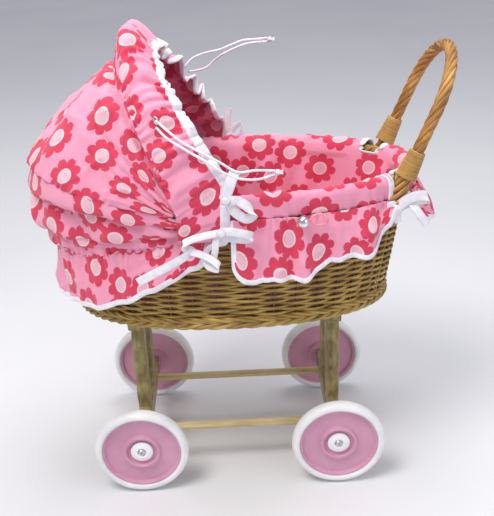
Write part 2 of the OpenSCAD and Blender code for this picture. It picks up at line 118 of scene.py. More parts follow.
# %% Grid to mesh
def grid_mesh(name, points, ring=False, tube=False, caps=False, chart=None):
    """Makes an object from points of shape (rows, columns, 3). Face (i, j) joins points (i, j), (i, j+1),
    (i+1, j+1) and (i+1, j); ring joins the last row to the first, tube the last column to the first."""
    rows, cols = points.shape[:2]
    i, j = np.meshgrid(np.arange(rows if ring else rows - 1), np.arange(cols if tube else cols - 1),
                       indexing="ij")
    i, j = i.ravel(), j.ravel()
    corners = [(i, j), (i, j + 1), (i + 1, j + 1), (i + 1, j)]
    faces = np.stack([(a % rows) * cols + b % cols for a, b in corners], axis=1)
    polygons = faces.tolist()
    if caps:
        polygons += [list(range(cols - 1, -1, -1)), list(range((rows - 1) * cols, rows * cols))]
    mesh = bpy.data.meshes.new(name)
    mesh.from_pydata(points.reshape(-1, 3).tolist(), [], polygons)
    if chart is None:
        chart = np.stack(np.meshgrid(np.arange(rows + 1) * 0.01, np.arange(cols + 1) * 0.01, indexing="ij"),
                         axis=-1)
    layer = mesh.uv_layers.new(name="chart")
    spots = np.zeros((len(mesh.loops), 2), np.float32)
    spots[: 4 * len(faces)] = np.stack([chart[a, b] for a, b in corners], axis=1).reshape(-1, 2)
    layer.data.foreach_set("uv", spots.ravel())
    mesh.polygons.foreach_set("use_smooth", np.ones(len(mesh.polygons), bool))
    made = bpy.data.objects.new(name, mesh)
    bpy.context.scene.collection.objects.link(made)
    return made


def lengths(line):
    """Distance along a line of points from its start to each point."""
    return np.concatenate([[0.0], np.cumsum(np.linalg.norm(np.diff(line, axis=0), axis=1))])


def respace(line, count):
    """The same line with count points at equal distances along it."""
    at = lengths(line)
    wanted = np.linspace(0, at[-1], count)
    return np.stack([np.interp(wanted, at, line[:, k]) for k in range(3)], axis=1)


def smooth_line(knots, count):
    """A curve through the knots: between two knots it is the cubic whose slope at each is half the step
    between that knot's neighbours. It comes back as count evenly spaced points."""
    p = np.asarray(knots, float)
    ends = np.vstack([2 * p[0] - p[1], p, 2 * p[-1] - p[-2]])
    s = np.linspace(0, 1, 24, endpoint=False)[None, :, None]
    a, b, c, d = (ends[k : len(ends) - 3 + k][:, None, :] for k in range(4))
    curve = 0.5 * (2 * b + (c - a) * s + (2 * a - 5 * b + 4 * c - d) * s**2 + (3 * b - a - 3 * c + d) * s**3)
    return respace(np.vstack([curve.reshape(-1, 3), p[-1:]]), count)


def units(v):
    """Each vector divided by its own length."""
    return v / np.linalg.norm(v, axis=-1, keepdims=True)


def headings(line, ring=False):
    """Unit direction of a line at each of its points, from the points on either side."""
    step = np.roll(line, -1, axis=0) - np.roll(line, 1, axis=0) if ring else np.gradient(line, axis=0)
    return units(step)


def tube_points(line, side_hint, wide, tall, sides=8, ring=False, power=2.0):
    """Grid round a line: at each point an oval with half widths wide and tall, laid in the plane across the
    line. side_hint is a direction that the line never follows; wide is measured across it. A power above 2
    squares the oval: cosine and sine are raised to 2 / power, keeping their signs."""
    ahead = headings(line, ring)
    hint = np.broadcast_to(np.asarray(side_hint, float), line.shape)
    side = units(np.cross(ahead, hint))
    over = np.cross(side, ahead)
    turn = np.linspace(0, 2 * math.pi, sides, endpoint=False)
    c, s = (np.sign(v) * np.abs(v) ** (2 / power) for v in (np.cos(turn), np.sin(turn)))
    w = np.broadcast_to(wide, len(line))[:, None, None]
    t = np.broadcast_to(tall, len(line))[:, None, None]
    return line[:, None] + w * c[None, :, None] * side[:, None] + t * s[None, :, None] * over[:, None]


def tube_chart(line, round_it, rows, cols, shift=0.0):
    """Map of a tube in metres: distance along it, and distance round it."""
    along = np.append(lengths(line), lengths(line)[-1] + 0.004)[: rows + 1]
    return np.stack(np.meshgrid(along, shift + np.linspace(0, round_it, cols + 1), indexing="ij"), axis=-1)


def tube(name, line, side_hint, wide, tall=None, sides=8, ring=False, shift=0.0, power=2.0):
    """A tube or rod along a line, with its map, capped unless it is a ring."""
    tall = wide if tall is None else tall
    grid = tube_points(line, side_hint, wide, tall, sides, ring, power)
    around = math.pi * float(np.mean(wide) + np.mean(tall))
    return grid_mesh(name, grid, ring=ring, tube=True, caps=not ring,
                     chart=tube_chart(line, around, len(line), sides, shift))


def join(name, parts):
    """One object from several, with the first one's material."""
    bpy.ops.object.select_all(action="DESELECT")
    for part in parts:
        part.select_set(True)
    bpy.context.view_layer.objects.active = parts[0]
    bpy.ops.object.join()
    parts[0].name = name
    parts[0].data.name = name
    return parts[0]


def thicken(made, thickness):
    """Gives a sheet its thickness with a Solidify modifier, half of it on each side of the faces."""
    wall = made.modifiers.new("thickness", "SOLIDIFY")
    wall.thickness, wall.offset, wall.use_rim = thickness, 0.0, True
    return wall


def paint(name, finish):
    """Shows a piece of the model as it is, in one finish."""
    nodes[name].data.materials.clear()
    nodes[name].data.materials.append(finish)


def finish_piece(made, material, body, slot, *stands_for):
    """Gives a piece its material, its body, and the model's nodes it stands for. slot is not used."""
    made.data.materials.clear()
    made.data.materials.append(material)
    if body:
        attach(made, body)
    if stands_for:
        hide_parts(*stands_for)
    return made


print("grid helpers ready")

# %% [markdown]
# ## Finishes
# Each finish is a small net of shader nodes. Two short helpers keep the nets readable: one adds a node and
# wires or sets its sockets, the other makes a colour band. A value that is the same all over is set on the
# shader itself.


# %% Shader helpers
def new_finish(name, roughness, **sockets):
    """A material with its main shader; extra sockets are set by name with underscores for spaces."""
    made = bpy.data.materials.new(name)
    made.use_nodes = True
    shader = made.node_tree.nodes["Principled BSDF"]
    shader.inputs["Roughness"].default_value = roughness
    for key, value in sockets.items():
        shader.inputs[key.replace("_", " ")].default_value = value
    return made


def put(mat, kind, wired=(), out=0, **settings):
    """Adds a node and returns one of its outputs. wired lists (input, value or another node's output)."""
    made = mat.node_tree.nodes.new("ShaderNode" + kind)
    for key, value in settings.items():
        setattr(made, key, value)
    for key, value in wired:
        if isinstance(value, bpy.types.NodeSocket):
            mat.node_tree.links.new(value, made.inputs[key])
        else:
            made.inputs[key].default_value = value
    return made.outputs[out]


def chart_spot(mat):
    """The cloth's or rod's own map, in metres."""
    return put(mat, "UVMap", uv_map="chart")


def object_spot(mat):
    """The place on the object, in metres."""
    return put(mat, "TexCoord", out="Object")


def calc(mat, operation, *values, clamp=False):
    """A Math node on one, two or three values."""
    return put(mat, "Math", list(enumerate(values)), operation=operation, use_clamp=clamp)


def bands(mat, fac, *stops):
    """A colour band: stops are (place, (r, g, b))."""
    made = mat.node_tree.nodes.new("ShaderNodeValToRGB")
    ramp = made.color_ramp
    while len(ramp.elements) < len(stops):
        ramp.elements.new(0.5)
    for element, (place, colour) in zip(ramp.elements, stops):
        element.position, element.color = place, (*colour, 1.0)
    mat.node_tree.links.new(fac, made.inputs["Fac"])
    return made.outputs["Color"]


def mixed(mat, fac, a, b, blend="MIX"):
    """Colour a where fac is 0 and b where it is 1."""
    made = mat.node_tree.nodes.new("ShaderNodeMix")
    made.data_type, made.blend_type = "RGBA", blend
    for index, value in ((0, fac), (6, a), (7, b)):
        if isinstance(value, bpy.types.NodeSocket):
            mat.node_tree.links.new(value, made.inputs[index])
        else:
            made.inputs[index].default_value = value
    return made.outputs[2]


def wire(mat, colour=None, roughness=None, height=None, depth=0.0005, strength=1.0):
    """Wires colour, roughness and a height map for fine relief into a material's main shader."""
    shader = mat.node_tree.nodes["Principled BSDF"]
    if colour is not None:
        mat.node_tree.links.new(colour, shader.inputs["Base Color"])
    if roughness is not None:
        mat.node_tree.links.new(roughness, shader.inputs["Roughness"])
    if height is not None:
        relief = put(mat, "Bump", [("Height", height), ("Distance", depth), ("Strength", strength)])
        mat.node_tree.links.new(relief, shader.inputs["Normal"])
    return mat


def rgb(r, g, b):
    """A colour on screen, 0 to 255, as the shader's linear light: values above 10 follow a power of 2.4."""
    c = np.array([r, g, b]) / 255
    low, high = c / 12.92, ((c + 0.055) / 1.055) ** 2.4
    return tuple(float(v) for v in np.where(c <= 0.04045, low, high))


def places(mat, source, stretch):
    """Object or chart coordinates, stretched along each axis before a pattern reads them."""
    spot = chart_spot(mat) if source == "chart" else object_spot(mat)
    return put(mat, "Mapping", [("Vector", spot), ("Scale", stretch)])


def noise(mat, vector, scale, detail=3.0, rough=0.5, **kind):
    """Cloudy noise, about 0.3 to 0.7."""
    return put(mat, "TexNoise", [("Vector", vector), ("Scale", scale), ("Detail", detail),
                                 ("Roughness", rough)],
               out="Fac", **kind)


# %% [markdown]
# ## The printed cotton
# The cloth is light pink with coral flowers. A real print repeats a drawn tile. Here each flower is a rule
# instead: scattered centres come from a cell pattern, and round each centre the distance and the angle
# decide whether a point is disc, petal or ground. The edge of the petals swings in and out eight times in a
# turn. The rule reads the cloth's own map in metres, so the flowers turn and fold with the cloth. A fine
# over-and-under relief gives the plain weave.


# %% Printed cotton
def weave_height(mat, pitch):
    """Height of a plain weave: two families of ribs at right angles, one per thread, multiplied together."""
    spot = put(mat, "SeparateXYZ", [("Vector", chart_spot(mat))])
    split = spot.node
    turns = 2 * math.pi / pitch
    warp = calc(mat, "SINE", calc(mat, "MULTIPLY", split.outputs["X"], turns))
    weft = calc(mat, "SINE", calc(mat, "MULTIPLY", split.outputs["Y"], turns))
    return calc(mat, "MULTIPLY", warp, weft)


def soft_step(mat, value, edge, width):
    """1 well below the edge, 0 well above it, with a ramp of the given width between."""
    return calc(mat, "DIVIDE", calc(mat, "SUBTRACT", edge, value), width, clamp=True)


def printed_cotton(name, ground, petal, disc, ring, seed=0.0):
    """Cotton printed with eight-petalled flowers about 43 mm across, some 50 mm apart."""
    mat = new_finish(name, 0.78, Sheen_Weight=0.25, Sheen_Roughness=0.5, Specular_IOR_Level=0.25)
    spot = put(mat, "Mapping", [("Vector", chart_spot(mat)), ("Location", (seed, 0.37 * seed, 0)),
                                ("Rotation", (0, 0, 0.45))])
    cells = put(mat, "TexVoronoi", [("Vector", spot), ("Scale", 20.5), ("Randomness", 0.42)],
                voronoi_dimensions="2D").node
    away = put(mat, "VectorMath", [(0, spot), (1, cells.outputs["Position"])], operation="SUBTRACT")
    split = put(mat, "SeparateXYZ", [("Vector", away)]).node
    reach = put(mat, "VectorMath", [(0, away)], operation="LENGTH", out="Value")
    spin = put(mat, "SeparateColor", [("Color", cells.outputs["Color"])])
    angle = calc(mat, "ADD", calc(mat, "ARCTAN2", split.outputs["Y"], split.outputs["X"]),
                 calc(mat, "MULTIPLY", spin, 6.3))
    swing = calc(mat, "POWER", calc(mat, "ABSOLUTE", calc(mat, "COSINE", calc(mat, "MULTIPLY", angle, 4.0))),
                 0.55)
    edge = calc(mat, "MULTIPLY_ADD", swing, 0.0062, 0.0158)
    wobble = noise(mat, spot, 180.0, 1.0)
    edge = calc(mat, "ADD", edge, calc(mat, "MULTIPLY", calc(mat, "SUBTRACT", wobble, 0.5), 0.003))
    in_petal = soft_step(mat, reach, edge, 0.0012)
    in_ring = soft_step(mat, reach, 0.0096, 0.0008)
    in_disc = soft_step(mat, reach, 0.0078, 0.0010)
    patch = noise(mat, spot, 9.0, 2.0)
    base = mixed(mat, patch, (*ground[0], 1), (*ground[1], 1))
    petals = mixed(mat, noise(mat, spot, 60.0, 2.0), (*petal[0], 1), (*petal[1], 1))
    colour = mixed(mat, in_petal, base, petals)
    colour = mixed(mat, in_ring, colour, (*ring, 1))
    colour = mixed(mat, in_disc, colour, (*disc, 1))
    crumple = noise(mat, object_spot(mat), 55.0, 4.0, 0.55)
    height = calc(mat, "ADD", calc(mat, "MULTIPLY", weave_height(mat, 0.0007), 0.06), crumple)
    return wire(mat, colour=colour, height=height, depth=0.0030, strength=0.45)


PRINT = printed_cotton("flowered_cotton", (rgb(243, 150, 180), rgb(250, 172, 196)),
                       (rgb(214, 52, 84), rgb(228, 72, 100)),
                       rgb(240, 188, 200), rgb(252, 218, 222))
REVERSE = printed_cotton("cotton_reverse", (rgb(214, 116, 148), rgb(224, 132, 160)),
                         (rgb(190, 62, 92), rgb(200, 78, 104)),
                         rgb(214, 140, 160), rgb(222, 152, 168))
print("printed cotton ready")


# %% [markdown]
# ## Tape, cord, willow, wood, plastic and metal
# White cotton tape has a fine twill and a soft white, with faint lilac painted shade in random cloudy patches. Willow
# is golden brown, darker and lighter along each rod, with a faint gloss. The sawn legs are a greener, duller gold with
# straight grain.
# The plastics are plain mouldings, so their detail is in a faint mottle, moulding waviness and a little
# rubbed dust.


# %% The other finishes
def tape_finish():
    """White cotton tape: diagonal twill relief, and faint lilac painted shade in random cloudy patches."""
    mat = new_finish("white_tape", 0.72, Sheen_Weight=0.3, Specular_IOR_Level=0.3)
    twill = put(mat, "TexWave", [("Vector", places(mat, "chart", (1, 1, 1))), ("Scale", 420.0),
                                 ("Distortion", 0.4)],
                wave_type="BANDS", bands_direction="DIAGONAL", out="Fac")
    cloud = noise(mat, object_spot(mat), 90.0, 3.0)
    # The lilac end of this band is painted shade, laid in random cloudy patches; the same cloud also gives a faint
    # relief.
    colour = bands(mat, cloud, (0.3, rgb(232, 228, 240)), (0.7, rgb(252, 250, 252)))
    return wire(mat, colour=colour, height=calc(mat, "ADD", calc(mat, "MULTIPLY", twill, 0.3), cloud),
                depth=0.0006)


def rod_finish(name, dark, middle, light, along=14.0, across=420.0, roughness=(0.38, 0.6), depth=0.0004):
    """Peeled willow or wood: streaks that run along the rod, three tones, and a relief of the same
    streaks."""
    mat = new_finish(name, 0.5, Coat_Weight=0.12, Coat_Roughness=0.35)
    spot = places(mat, "chart", (along, across, 1.0))
    streak = noise(mat, spot, 1.0, 4.0, 0.6)
    cloud = noise(mat, object_spot(mat), 42.0, 3.0)
    tone = calc(mat, "ADD", calc(mat, "MULTIPLY", streak, 0.6), calc(mat, "MULTIPLY", cloud, 0.4))
    colour = bands(mat, tone, (0.33, dark), (0.5, middle), (0.68, light))
    rough = put(mat, "MapRange", [("Value", tone), ("To Min", roughness[1]), ("To Max", roughness[0])])
    return wire(mat, colour=colour, roughness=rough, height=streak, depth=depth, strength=0.7)


def plank_finish(name, dark, middle, light, stretch, depth=0.0003):
    """Sawn wood: noise stretched along the board in object coordinates gives grain, a slow one gives tone."""
    mat = new_finish(name, 0.55, Coat_Weight=0.08, Coat_Roughness=0.4)
    fine = noise(mat, places(mat, "object", stretch), 1.0, 5.0, 0.6)
    slow = noise(mat, object_spot(mat), 18.0, 2.0)
    tone = calc(mat, "ADD", calc(mat, "MULTIPLY", fine, 0.65), calc(mat, "MULTIPLY", slow, 0.35))
    colour = bands(mat, tone, (0.36, dark), (0.5, middle), (0.66, light))
    rough = put(mat, "MapRange", [("Value", fine), ("To Min", 0.62), ("To Max", 0.45)])
    return wire(mat, colour=colour, roughness=rough, height=fine, depth=depth, strength=0.8)


def plastic_finish(name, low, high, roughness, scale=30.0, depth=0.0002):
    """Moulded plastic: two close tones in slow clouds, rubbed dust in the roughness, faint waviness."""
    mat = new_finish(name, roughness, Coat_Weight=0.15, Coat_Roughness=0.25)
    spot = object_spot(mat)
    cloud = noise(mat, spot, scale, 3.0)
    colour = bands(mat, cloud, (0.3, low), (0.7, high))
    rubbed = put(mat, "MapRange", [("Value", noise(mat, spot, 160.0, 4.0)), ("To Min", roughness - 0.07),
                                   ("To Max", roughness + 0.1)])
    return wire(mat, colour=colour, roughness=rubbed, height=cloud, depth=depth, strength=0.6)


def metal_finish(name, colour, roughness):
    """Bright metal: rubbed patches in the roughness and a very faint grain."""
    mat = new_finish(name, roughness, Metallic=1.0)
    spot = object_spot(mat)
    cloud = noise(mat, spot, 300.0, 4.0)
    tint = bands(mat, cloud, (0.3, tuple(0.8 * c for c in colour)), (0.7, colour))
    rough = put(mat, "MapRange", [("Value", cloud), ("To Min", roughness), ("To Max", roughness + 0.12)])
    return wire(mat, colour=tint, roughness=rough, height=cloud, depth=0.0001, strength=0.4)


TAPE = tape_finish()
WILLOW = rod_finish("willow", rgb(98, 72, 26), rgb(170, 136, 62), rgb(218, 190, 112))
HANDLE_WILLOW = rod_finish("handle_willow", rgb(112, 70, 24), rgb(172, 120, 52), rgb(214, 168, 96), along=9.0)
STAKE = rod_finish("stake_willow", rgb(60, 38, 14), rgb(104, 72, 30), rgb(140, 102, 48))
CANE = rod_finish("split_cane", rgb(150, 108, 50), rgb(190, 148, 76), rgb(222, 188, 118), across=900.0)
FRAME_TONES = rgb(116, 100, 60), rgb(148, 134, 86), rgb(178, 164, 114)
LEG_WOOD = plank_finish("leg_wood", *FRAME_TONES, (160.0, 160.0, 9.0))
BEAM_WOOD = plank_finish("beam_wood", *FRAME_TONES, (160.0, 9.0, 160.0))
DOWEL_WOOD = plank_finish("dowel_wood", rgb(180, 158, 104), rgb(208, 188, 136), rgb(230, 214, 168),
                          (9.0, 220.0, 220.0))
PLY = plank_finish("plywood", rgb(150, 118, 70), rgb(178, 146, 94), rgb(200, 170, 118), (8.0, 120.0, 120.0))
TYRE_WHITE = plastic_finish("white_tyre", rgb(226, 226, 228), rgb(246, 246, 246), 0.45)
DISC_PINK = plastic_finish("pink_disc", rgb(206, 146, 172), rgb(216, 160, 184), 0.42)
BUSH_WHITE = plastic_finish("white_bush", rgb(240, 240, 242), rgb(252, 252, 252), 0.28)
STEEL = metal_finish("zinc_steel", (0.72, 0.72, 0.74), 0.28)
BALL = metal_finish("polished_ball", (0.86, 0.86, 0.88), 0.08)
WIRE_WHITE = plastic_finish("coated_wire", rgb(222, 222, 224), rgb(240, 240, 240), 0.35, 120.0)
LOOP_PINK = plastic_finish("pink_cloth_cord", rgb(232, 130, 150), rgb(246, 160, 176), 0.8, 260.0, 0.0004)
CORD_WHITE = tape_finish()
CORD_WHITE.name = "white_elastic"
print("finishes:", len(bpy.data.materials))

# %% [markdown]
# ## Floor and light
# A pale floor and a large soft light from the upper left and front stand in for a small studio. A pale sky
# fills the shadows, so the cotton keeps its pink on the shaded side.

# %% Stage
bpy.context.scene.view_settings.view_transform = "Standard"
FLOOR = plastic_finish("pale_floor", rgb(226, 226, 228), rgb(232, 232, 233), 0.7, 2.0)
floor_grid = np.stack([*np.meshgrid(np.linspace(-4, 4, 9), np.linspace(-2.5, 5.5, 9), indexing="ij"),
                       np.full((9, 9), -0.0005)], axis=-1)
floor = grid_mesh("floor", floor_grid[::-1])
floor.data.materials.append(FLOOR)

world = bpy.data.worlds.new("sky")
bpy.context.scene.world = world
world.use_nodes = True
world.node_tree.nodes["Background"].inputs["Color"].default_value = (0.88, 0.89, 1.0, 1)
world.node_tree.nodes["Background"].inputs["Strength"].default_value = 0.50


def soft_light(name, power, size, place, aim, colour=(1, 1, 1)):
    """A square area light at place, its face turned towards aim."""
    made = bpy.data.objects.new(name, bpy.data.lights.new(name, "AREA"))
    made.data.energy, made.data.size, made.data.color = power, size, colour
    bpy.context.scene.collection.objects.link(made)
    back = units(np.asarray(place, float) - np.asarray(aim, float))
    side = units(np.cross((0.0, 0.0, 1.0), back))
    turned = Matrix(np.column_stack([side, np.cross(back, side), back]).tolist()).to_4x4()
    turned.translation = place
    made.matrix_world = turned


soft_light("key_light", 33, 0.9, (-0.8, -0.9, 2.2), (0, 0, 0.3), (1.0, 0.98, 0.95))
soft_light("fill_light", 7, 1.6, (1.6, -1.0, 1.1), (0, 0, 0.3), (0.95, 0.97, 1.0))
soft_light("top_light", 17, 1.2, (0.2, 0.3, 2.1), (0, 0, 0.3))
print("stage ready")

# %% [markdown]
# ## Elastic loops
# Each side of the hood's brim carries a loop of white elastic, which hooks over the ball button on the
# basket. The near one hangs along the brim and rests across the basket's edge; the far one stands out by
# its own spring, as round elastic kept on a hook does. A loop is two strands from one stitch to a shared
# knot. Their routes repeat the model's routes, in metres.


# %% Elastic loops
def route(points):
    """Route points in millimetres from the middle of the wheelbase, as a smooth line in metres."""
    return smooth_line(np.array(points, float) / 1000 + (MID, 0, 0), 60)


NEAR_A = route([(-74, -108, 492), (-62, -117, 483), (-46, -124, 471), (-26, -129, 460), (-6, -133, 449),
                (12, -134, 438), (32, -131, 438), (53, -126, 435)])
NEAR_B = route([(-74, -111, 485), (-62, -121, 475), (-42, -128, 463), (-20, -133, 450), (-2, -136, 438),
                (14, -136, 431), (34, -132, 428), (53, -126, 431)])
FAR_A = route([(-48, 60, 513), (-38, 64, 522), (-22, 64, 528), (-3, 62, 532), (12, 59, 538), (26, 57, 543),
               (42, 56, 544), (56, 55, 545)])
FAR_B = route([(-44, 64, 506), (-33, 68, 506), (-20, 67, 510), (-10, 64, 519), (0, 57, 527), (14, 53, 534),
               (32, 52, 540), (56, 54, 541)])


def knot(name, centre, radius, node):
    """An overhand knot in the two strands: a small ball, waisted and ridged where the strands cross, with the
    two cut ends sticking out of it."""
    turn, climb = np.meshgrid(np.linspace(0, 2 * math.pi, 25)[:-1], np.linspace(0, math.pi, 15),
                              indexing="ij")
    bulge = 1 + 0.12 * np.cos(3 * turn + 2 * climb)
    ball = np.stack([np.cos(climb) * 1.15, np.sin(climb) * np.cos(turn) * bulge,
                     np.sin(climb) * np.sin(turn) * bulge],
                    axis=-1)
    made = grid_mesh(name + "_ball", centre + radius * 0.92 * ball, ring=True)
    tails = [tube(name + f"_tail{k}", np.linspace(centre, centre + tip, 6), (0, 0.3, 1), 0.0011, sides=8)
             for k, tip in enumerate(((0.0062, 0.001, 0.0012), (0.0058, -0.002, -0.0010)))]
    made = join(name, [made, *tails])
    return finish_piece(made, CORD_WHITE, "hood_front", "white_cord", node)


for side, lines, centre in (("near", (NEAR_A, NEAR_B), (0.056 + MID, -0.126, 0.433)),
                            ("far", (FAR_A, FAR_B), (0.059 + MID, 0.055, 0.543))):
    ends = knot(f"loop_knot_{side}", np.array(centre), 0.0036, f"cord_knot_{side}")
    for letter, line in zip("ab", lines):
        strand = tube(f"elastic_{side}_{letter}", line, (0, 0.5, 1), 0.0014, sides=12)
        finish_piece(strand, CORD_WHITE, "hood_front", "white_cord", f"hood_cord_{side}_{letter}")

# %% [markdown]
# ## Wheels
# A wheel is a moulded disc with a raised hub ring and a white tyre pressed onto it. It spins on a white
# flanged bush that a screw clamps to the axle beam. All of these are turned shapes, so each is one profile
# carried round the hub's axis. Sharp corners of a profile are first eased with a short curve, because a
# moulding's edges always catch a thin line of light.


# %% Turned pieces
def ease(profile, reach, closed=True):
    """Replaces each corner by a short curve: it starts reach before the corner, bends towards it, and
    ends reach after it, but never takes more than 0.4 of the shorter side."""
    p = np.asarray(profile, float)
    before, after = np.roll(p, 1, axis=0) - p, np.roll(p, -1, axis=0) - p
    cut = np.minimum(reach, 0.4 * np.minimum(np.linalg.norm(before, axis=1),
                                             np.linalg.norm(after, axis=1)))[:, None]
    start, end = p + units(before) * cut, p + units(after) * cut
    s = np.linspace(0, 1, 4)[None, :, None]
    curve = (1 - s) ** 2 * start[:, None] + 2 * s * (1 - s) * p[:, None] + s**2 * end[:, None]
    if not closed:
        curve[0], curve[-1] = p[0], p[-1]
    return curve.reshape(-1, 2)


def turned(name, profile, end, side, closed=True, count=96):
    """Carries a profile of (radius, distance outwards from the pram's middle) round the hub at one end
    and side."""
    turn = np.linspace(0, 2 * math.pi, count, endpoint=False)[:, None]
    radius, out = profile[:, 0][None], profile[:, 1][None]
    grid = np.stack([MID + end * HALF_BASE + radius * np.cos(side * turn),
                     np.broadcast_to(side * out, (count, len(profile))),
                     WHEEL_R - radius * np.sin(side * turn)], axis=-1)
    return grid_mesh(name, grid[:, ::-1], ring=True, tube=closed)


around = np.radians(np.arange(-80, 81, 10))
TYRE_PROFILE = np.concatenate([[(WHEEL_R - 0.0096, -0.0072), (WHEEL_R - 0.0075, -0.0088)],
                               np.column_stack([WHEEL_R - 0.007 + 0.007 * np.cos(around),
                                                TYRE_W / 2 * np.sin(around)]),
                               [(WHEEL_R - 0.0075, 0.0088), (WHEEL_R - 0.0096, 0.0072)]])
DISC_PROFILE = ease(np.array([(7.1, -8), (19, -8), (20.5, -1.5), (46.4, -1.5), (47.8, -6), (50.3, -6),
                              (50.3, 6),
                              (47.8, 6), (46.4, 1.5), (24.5, 1.5), (23.4, 6), (20, 6), (19.2, 3.5), (19.2, 1),
                              (7.1, 1)]) / 1000, 0.0009)
CAP_PROFILE = ease(np.array([(2.3, -8), (6.95, -8), (6.95, 1.3), (14.3, 1.3), (14.3, 3.6), (8.4, 5.5),
                             (5.6, 5.5),
                             (5.2, 3.6), (2.3, 3.6)]) / 1000, 0.0006)
bushes = []
for end, end_name in ENDS:
    for side, side_name in SIDES:
        where = f"{end_name}_{side_name}"
        tyre = turned(f"tyre_moulding_{where}", TYRE_PROFILE + (0, WHEEL_Y), end, side)
        finish_piece(tyre, TYRE_WHITE, f"wheel_{where}", "tyre", f"tyre_{where}")
        disc = turned(f"disc_moulding_{where}", DISC_PROFILE + (0, WHEEL_Y), end, side)
        finish_piece(disc, DISC_PINK, f"wheel_{where}", "disc", f"wheel_disc_{where}")
        bushes.append(turned(f"cap_{where}", CAP_PROFILE + (0, WHEEL_Y), end, side))
finish_piece(join("wheel_caps", bushes), BUSH_WHITE, "chassis", "bush", "wheel_bushes")
print("wheels: 4 tyres, 4 discs, 4 caps")

# %% [markdown]
# ## Wooden end frames
# Each end frame is an axle beam, two upright legs with wavy sawn edges and a rail under the basket. Two
# dowels tie the frames together. A board is a rounded rectangle carried along its length; a leg's width
# swells and shrinks as it climbs, with crests 40 mm apart.


# %% Boards and dowels
def rounded_rectangle(half_x, half_y, radius, count=5):
    """Corner arcs of a rectangle with rounded corners, one after the other: the arc's centre sits radius
    in from both sides. half_x and half_y may change along the board."""
    turn = np.radians(np.arange(4)[:, None] * 90 + np.linspace(0, 90, count)[None]).ravel()
    sign_x = np.repeat([1, -1, -1, 1], count)
    sign_y = np.repeat([1, 1, -1, -1], count)
    hx, hy = np.broadcast_arrays(np.atleast_1d(half_x)[:, None], np.atleast_1d(half_y)[:, None])
    return np.stack([sign_x * (hx - radius) + radius * np.cos(turn),
                     sign_y * (hy - radius) + radius * np.sin(turn)],
                    axis=-1)


def board(name, start, ahead, along, half_x, half_y, side, over, radius=0.0022):
    """A board from start: along lists distances in the direction ahead, side and over are the section's
    axes."""
    section = rounded_rectangle(np.broadcast_to(half_x, len(along)), np.broadcast_to(half_y, len(along)),
                                radius)
    grid = (np.asarray(start, float) + along[:, None, None] * np.asarray(ahead, float)
            + section[..., :1] * np.asarray(side, float) + section[..., 1:] * np.asarray(over, float))
    return grid_mesh(name, grid, tube=True, caps=True)


LEG_IN, LEG_OUT, WAVE = 0.022, 0.047, 0.003
BEAM_LOW, BEAM_TOP, RAIL_LOW = 0.047, 0.073, 0.212
climb = np.linspace(BEAM_TOP, RAIL_LOW, 140)
ripple = WAVE * np.cos(2 * math.pi * (climb - 0.101) / 0.040)
ripple = ripple * np.clip(np.minimum(climb - BEAM_TOP, RAIL_LOW - climb) / 0.008, 0, 1)
for end, end_name in ENDS:
    x = MID + end * HALF_BASE
    for side, side_name in SIDES:
        leg = board(f"sawn_leg_{end_name}_{side_name}", (x, side * (LEG_IN + LEG_OUT) / 2, 0), (0, 0, 1),
                    climb, 0.008,
                    (LEG_OUT - LEG_IN) / 2 + ripple, (1, 0, 0), (0, 1, 0))
        finish_piece(leg, LEG_WOOD, "chassis", "leg_wood", f"leg_{end_name}_{side_name}")
    ends = np.concatenate([[-0.0998, -0.0992, -0.098], np.linspace(-0.096, 0.096, 30),
                           [0.098, 0.0992, 0.0998]])
    shrink = np.interp(np.abs(ends), [0.098, 0.0992, 0.0998], [0, 0.0004, 0.0014])
    for name, node, z, share, half_high in (("axle_board", "axle_beam", 0.060, 1, 0.013),
                                            ("rail_board", "top_rail", 0.220, 0.7, 0.008)):
        cross = board(f"{name}_{end_name}", (x, 0, z), (0, 1, 0), ends * share, 0.008 - shrink,
                      half_high - shrink,
                      (1, 0, 0), (0, 0, 1))
        finish_piece(cross, BEAM_WOOD, "chassis", "leg_wood", f"{node}_{end_name}")
for side, side_name in SIDES:
    reach = HALF_BASE + 0.0086  # past the beam's outer face, so the cut end shows
    line = np.column_stack([MID + np.linspace(-reach, reach, 40), np.full(40, side * 0.062),
                            np.full(40, 0.060)])
    dowel = tube(f"dowel_{side_name}", line, (0, 0, 1), 0.005, sides=32)
    finish_piece(dowel, DOWEL_WOOD, "chassis", "dowel_wood", f"stretcher_{side_name}")
for name, finish in (("leg_pegs", DOWEL_WOOD), ("rail_screws", STEEL), ("axle_screws", STEEL),
                     ("axle_washers", STEEL),
                     ("hood_pins", STEEL), ("base_board", PLY)):
    paint(name, finish)
print("frames: 4 legs, 2 beams, 2 rails, 2 dowels")

# %% [markdown]
# ## The woven basket
# Upright stakes stand round the basket, and thin weavers pass in front of one stake and behind the next.
# The next row up does the opposite, which is what shows as the offset pattern of short highlights. Each row
# is a closed rod: its distance from the wall's middle swings as a sine that changes sign at every stake. A
# little seeded unevenness keeps the rows from looking machined. The foot and the rim are heavier ropes of
# three rods.


# %% Basket curves
def oval(half_x, half_y, power, turn):
    """Point on a squared oval: each of the angle's cosine and sine is raised to 2 / power, keeping its
    sign."""
    c, s = np.cos(turn), np.sin(turn)
    return (half_x * np.sign(c) * np.abs(c) ** (2 / power), half_y * np.sign(s) * np.abs(s) ** (2 / power))


def wall_curve(turn, height, grow=0.0):
    """The basket wall's outside at an angle and height, moved outwards by grow. The foot's oval turns
    steadily into the rim's as the wall climbs."""
    share = (height - BASE_Z) / (RIM_Z - BASE_Z)
    x, y = oval((FOOT_A - 0.004) * (1 - share) + (RIM_A - 0.002) * share + grow,
                (FOOT_B - 0.004) * (1 - share) + (RIM_B - 0.002) * share + grow,
                POWER_FOOT * (1 - share) + POWER_RIM * share, turn)
    return np.stack(np.broadcast_arrays(MID + x, y, height), axis=-1)


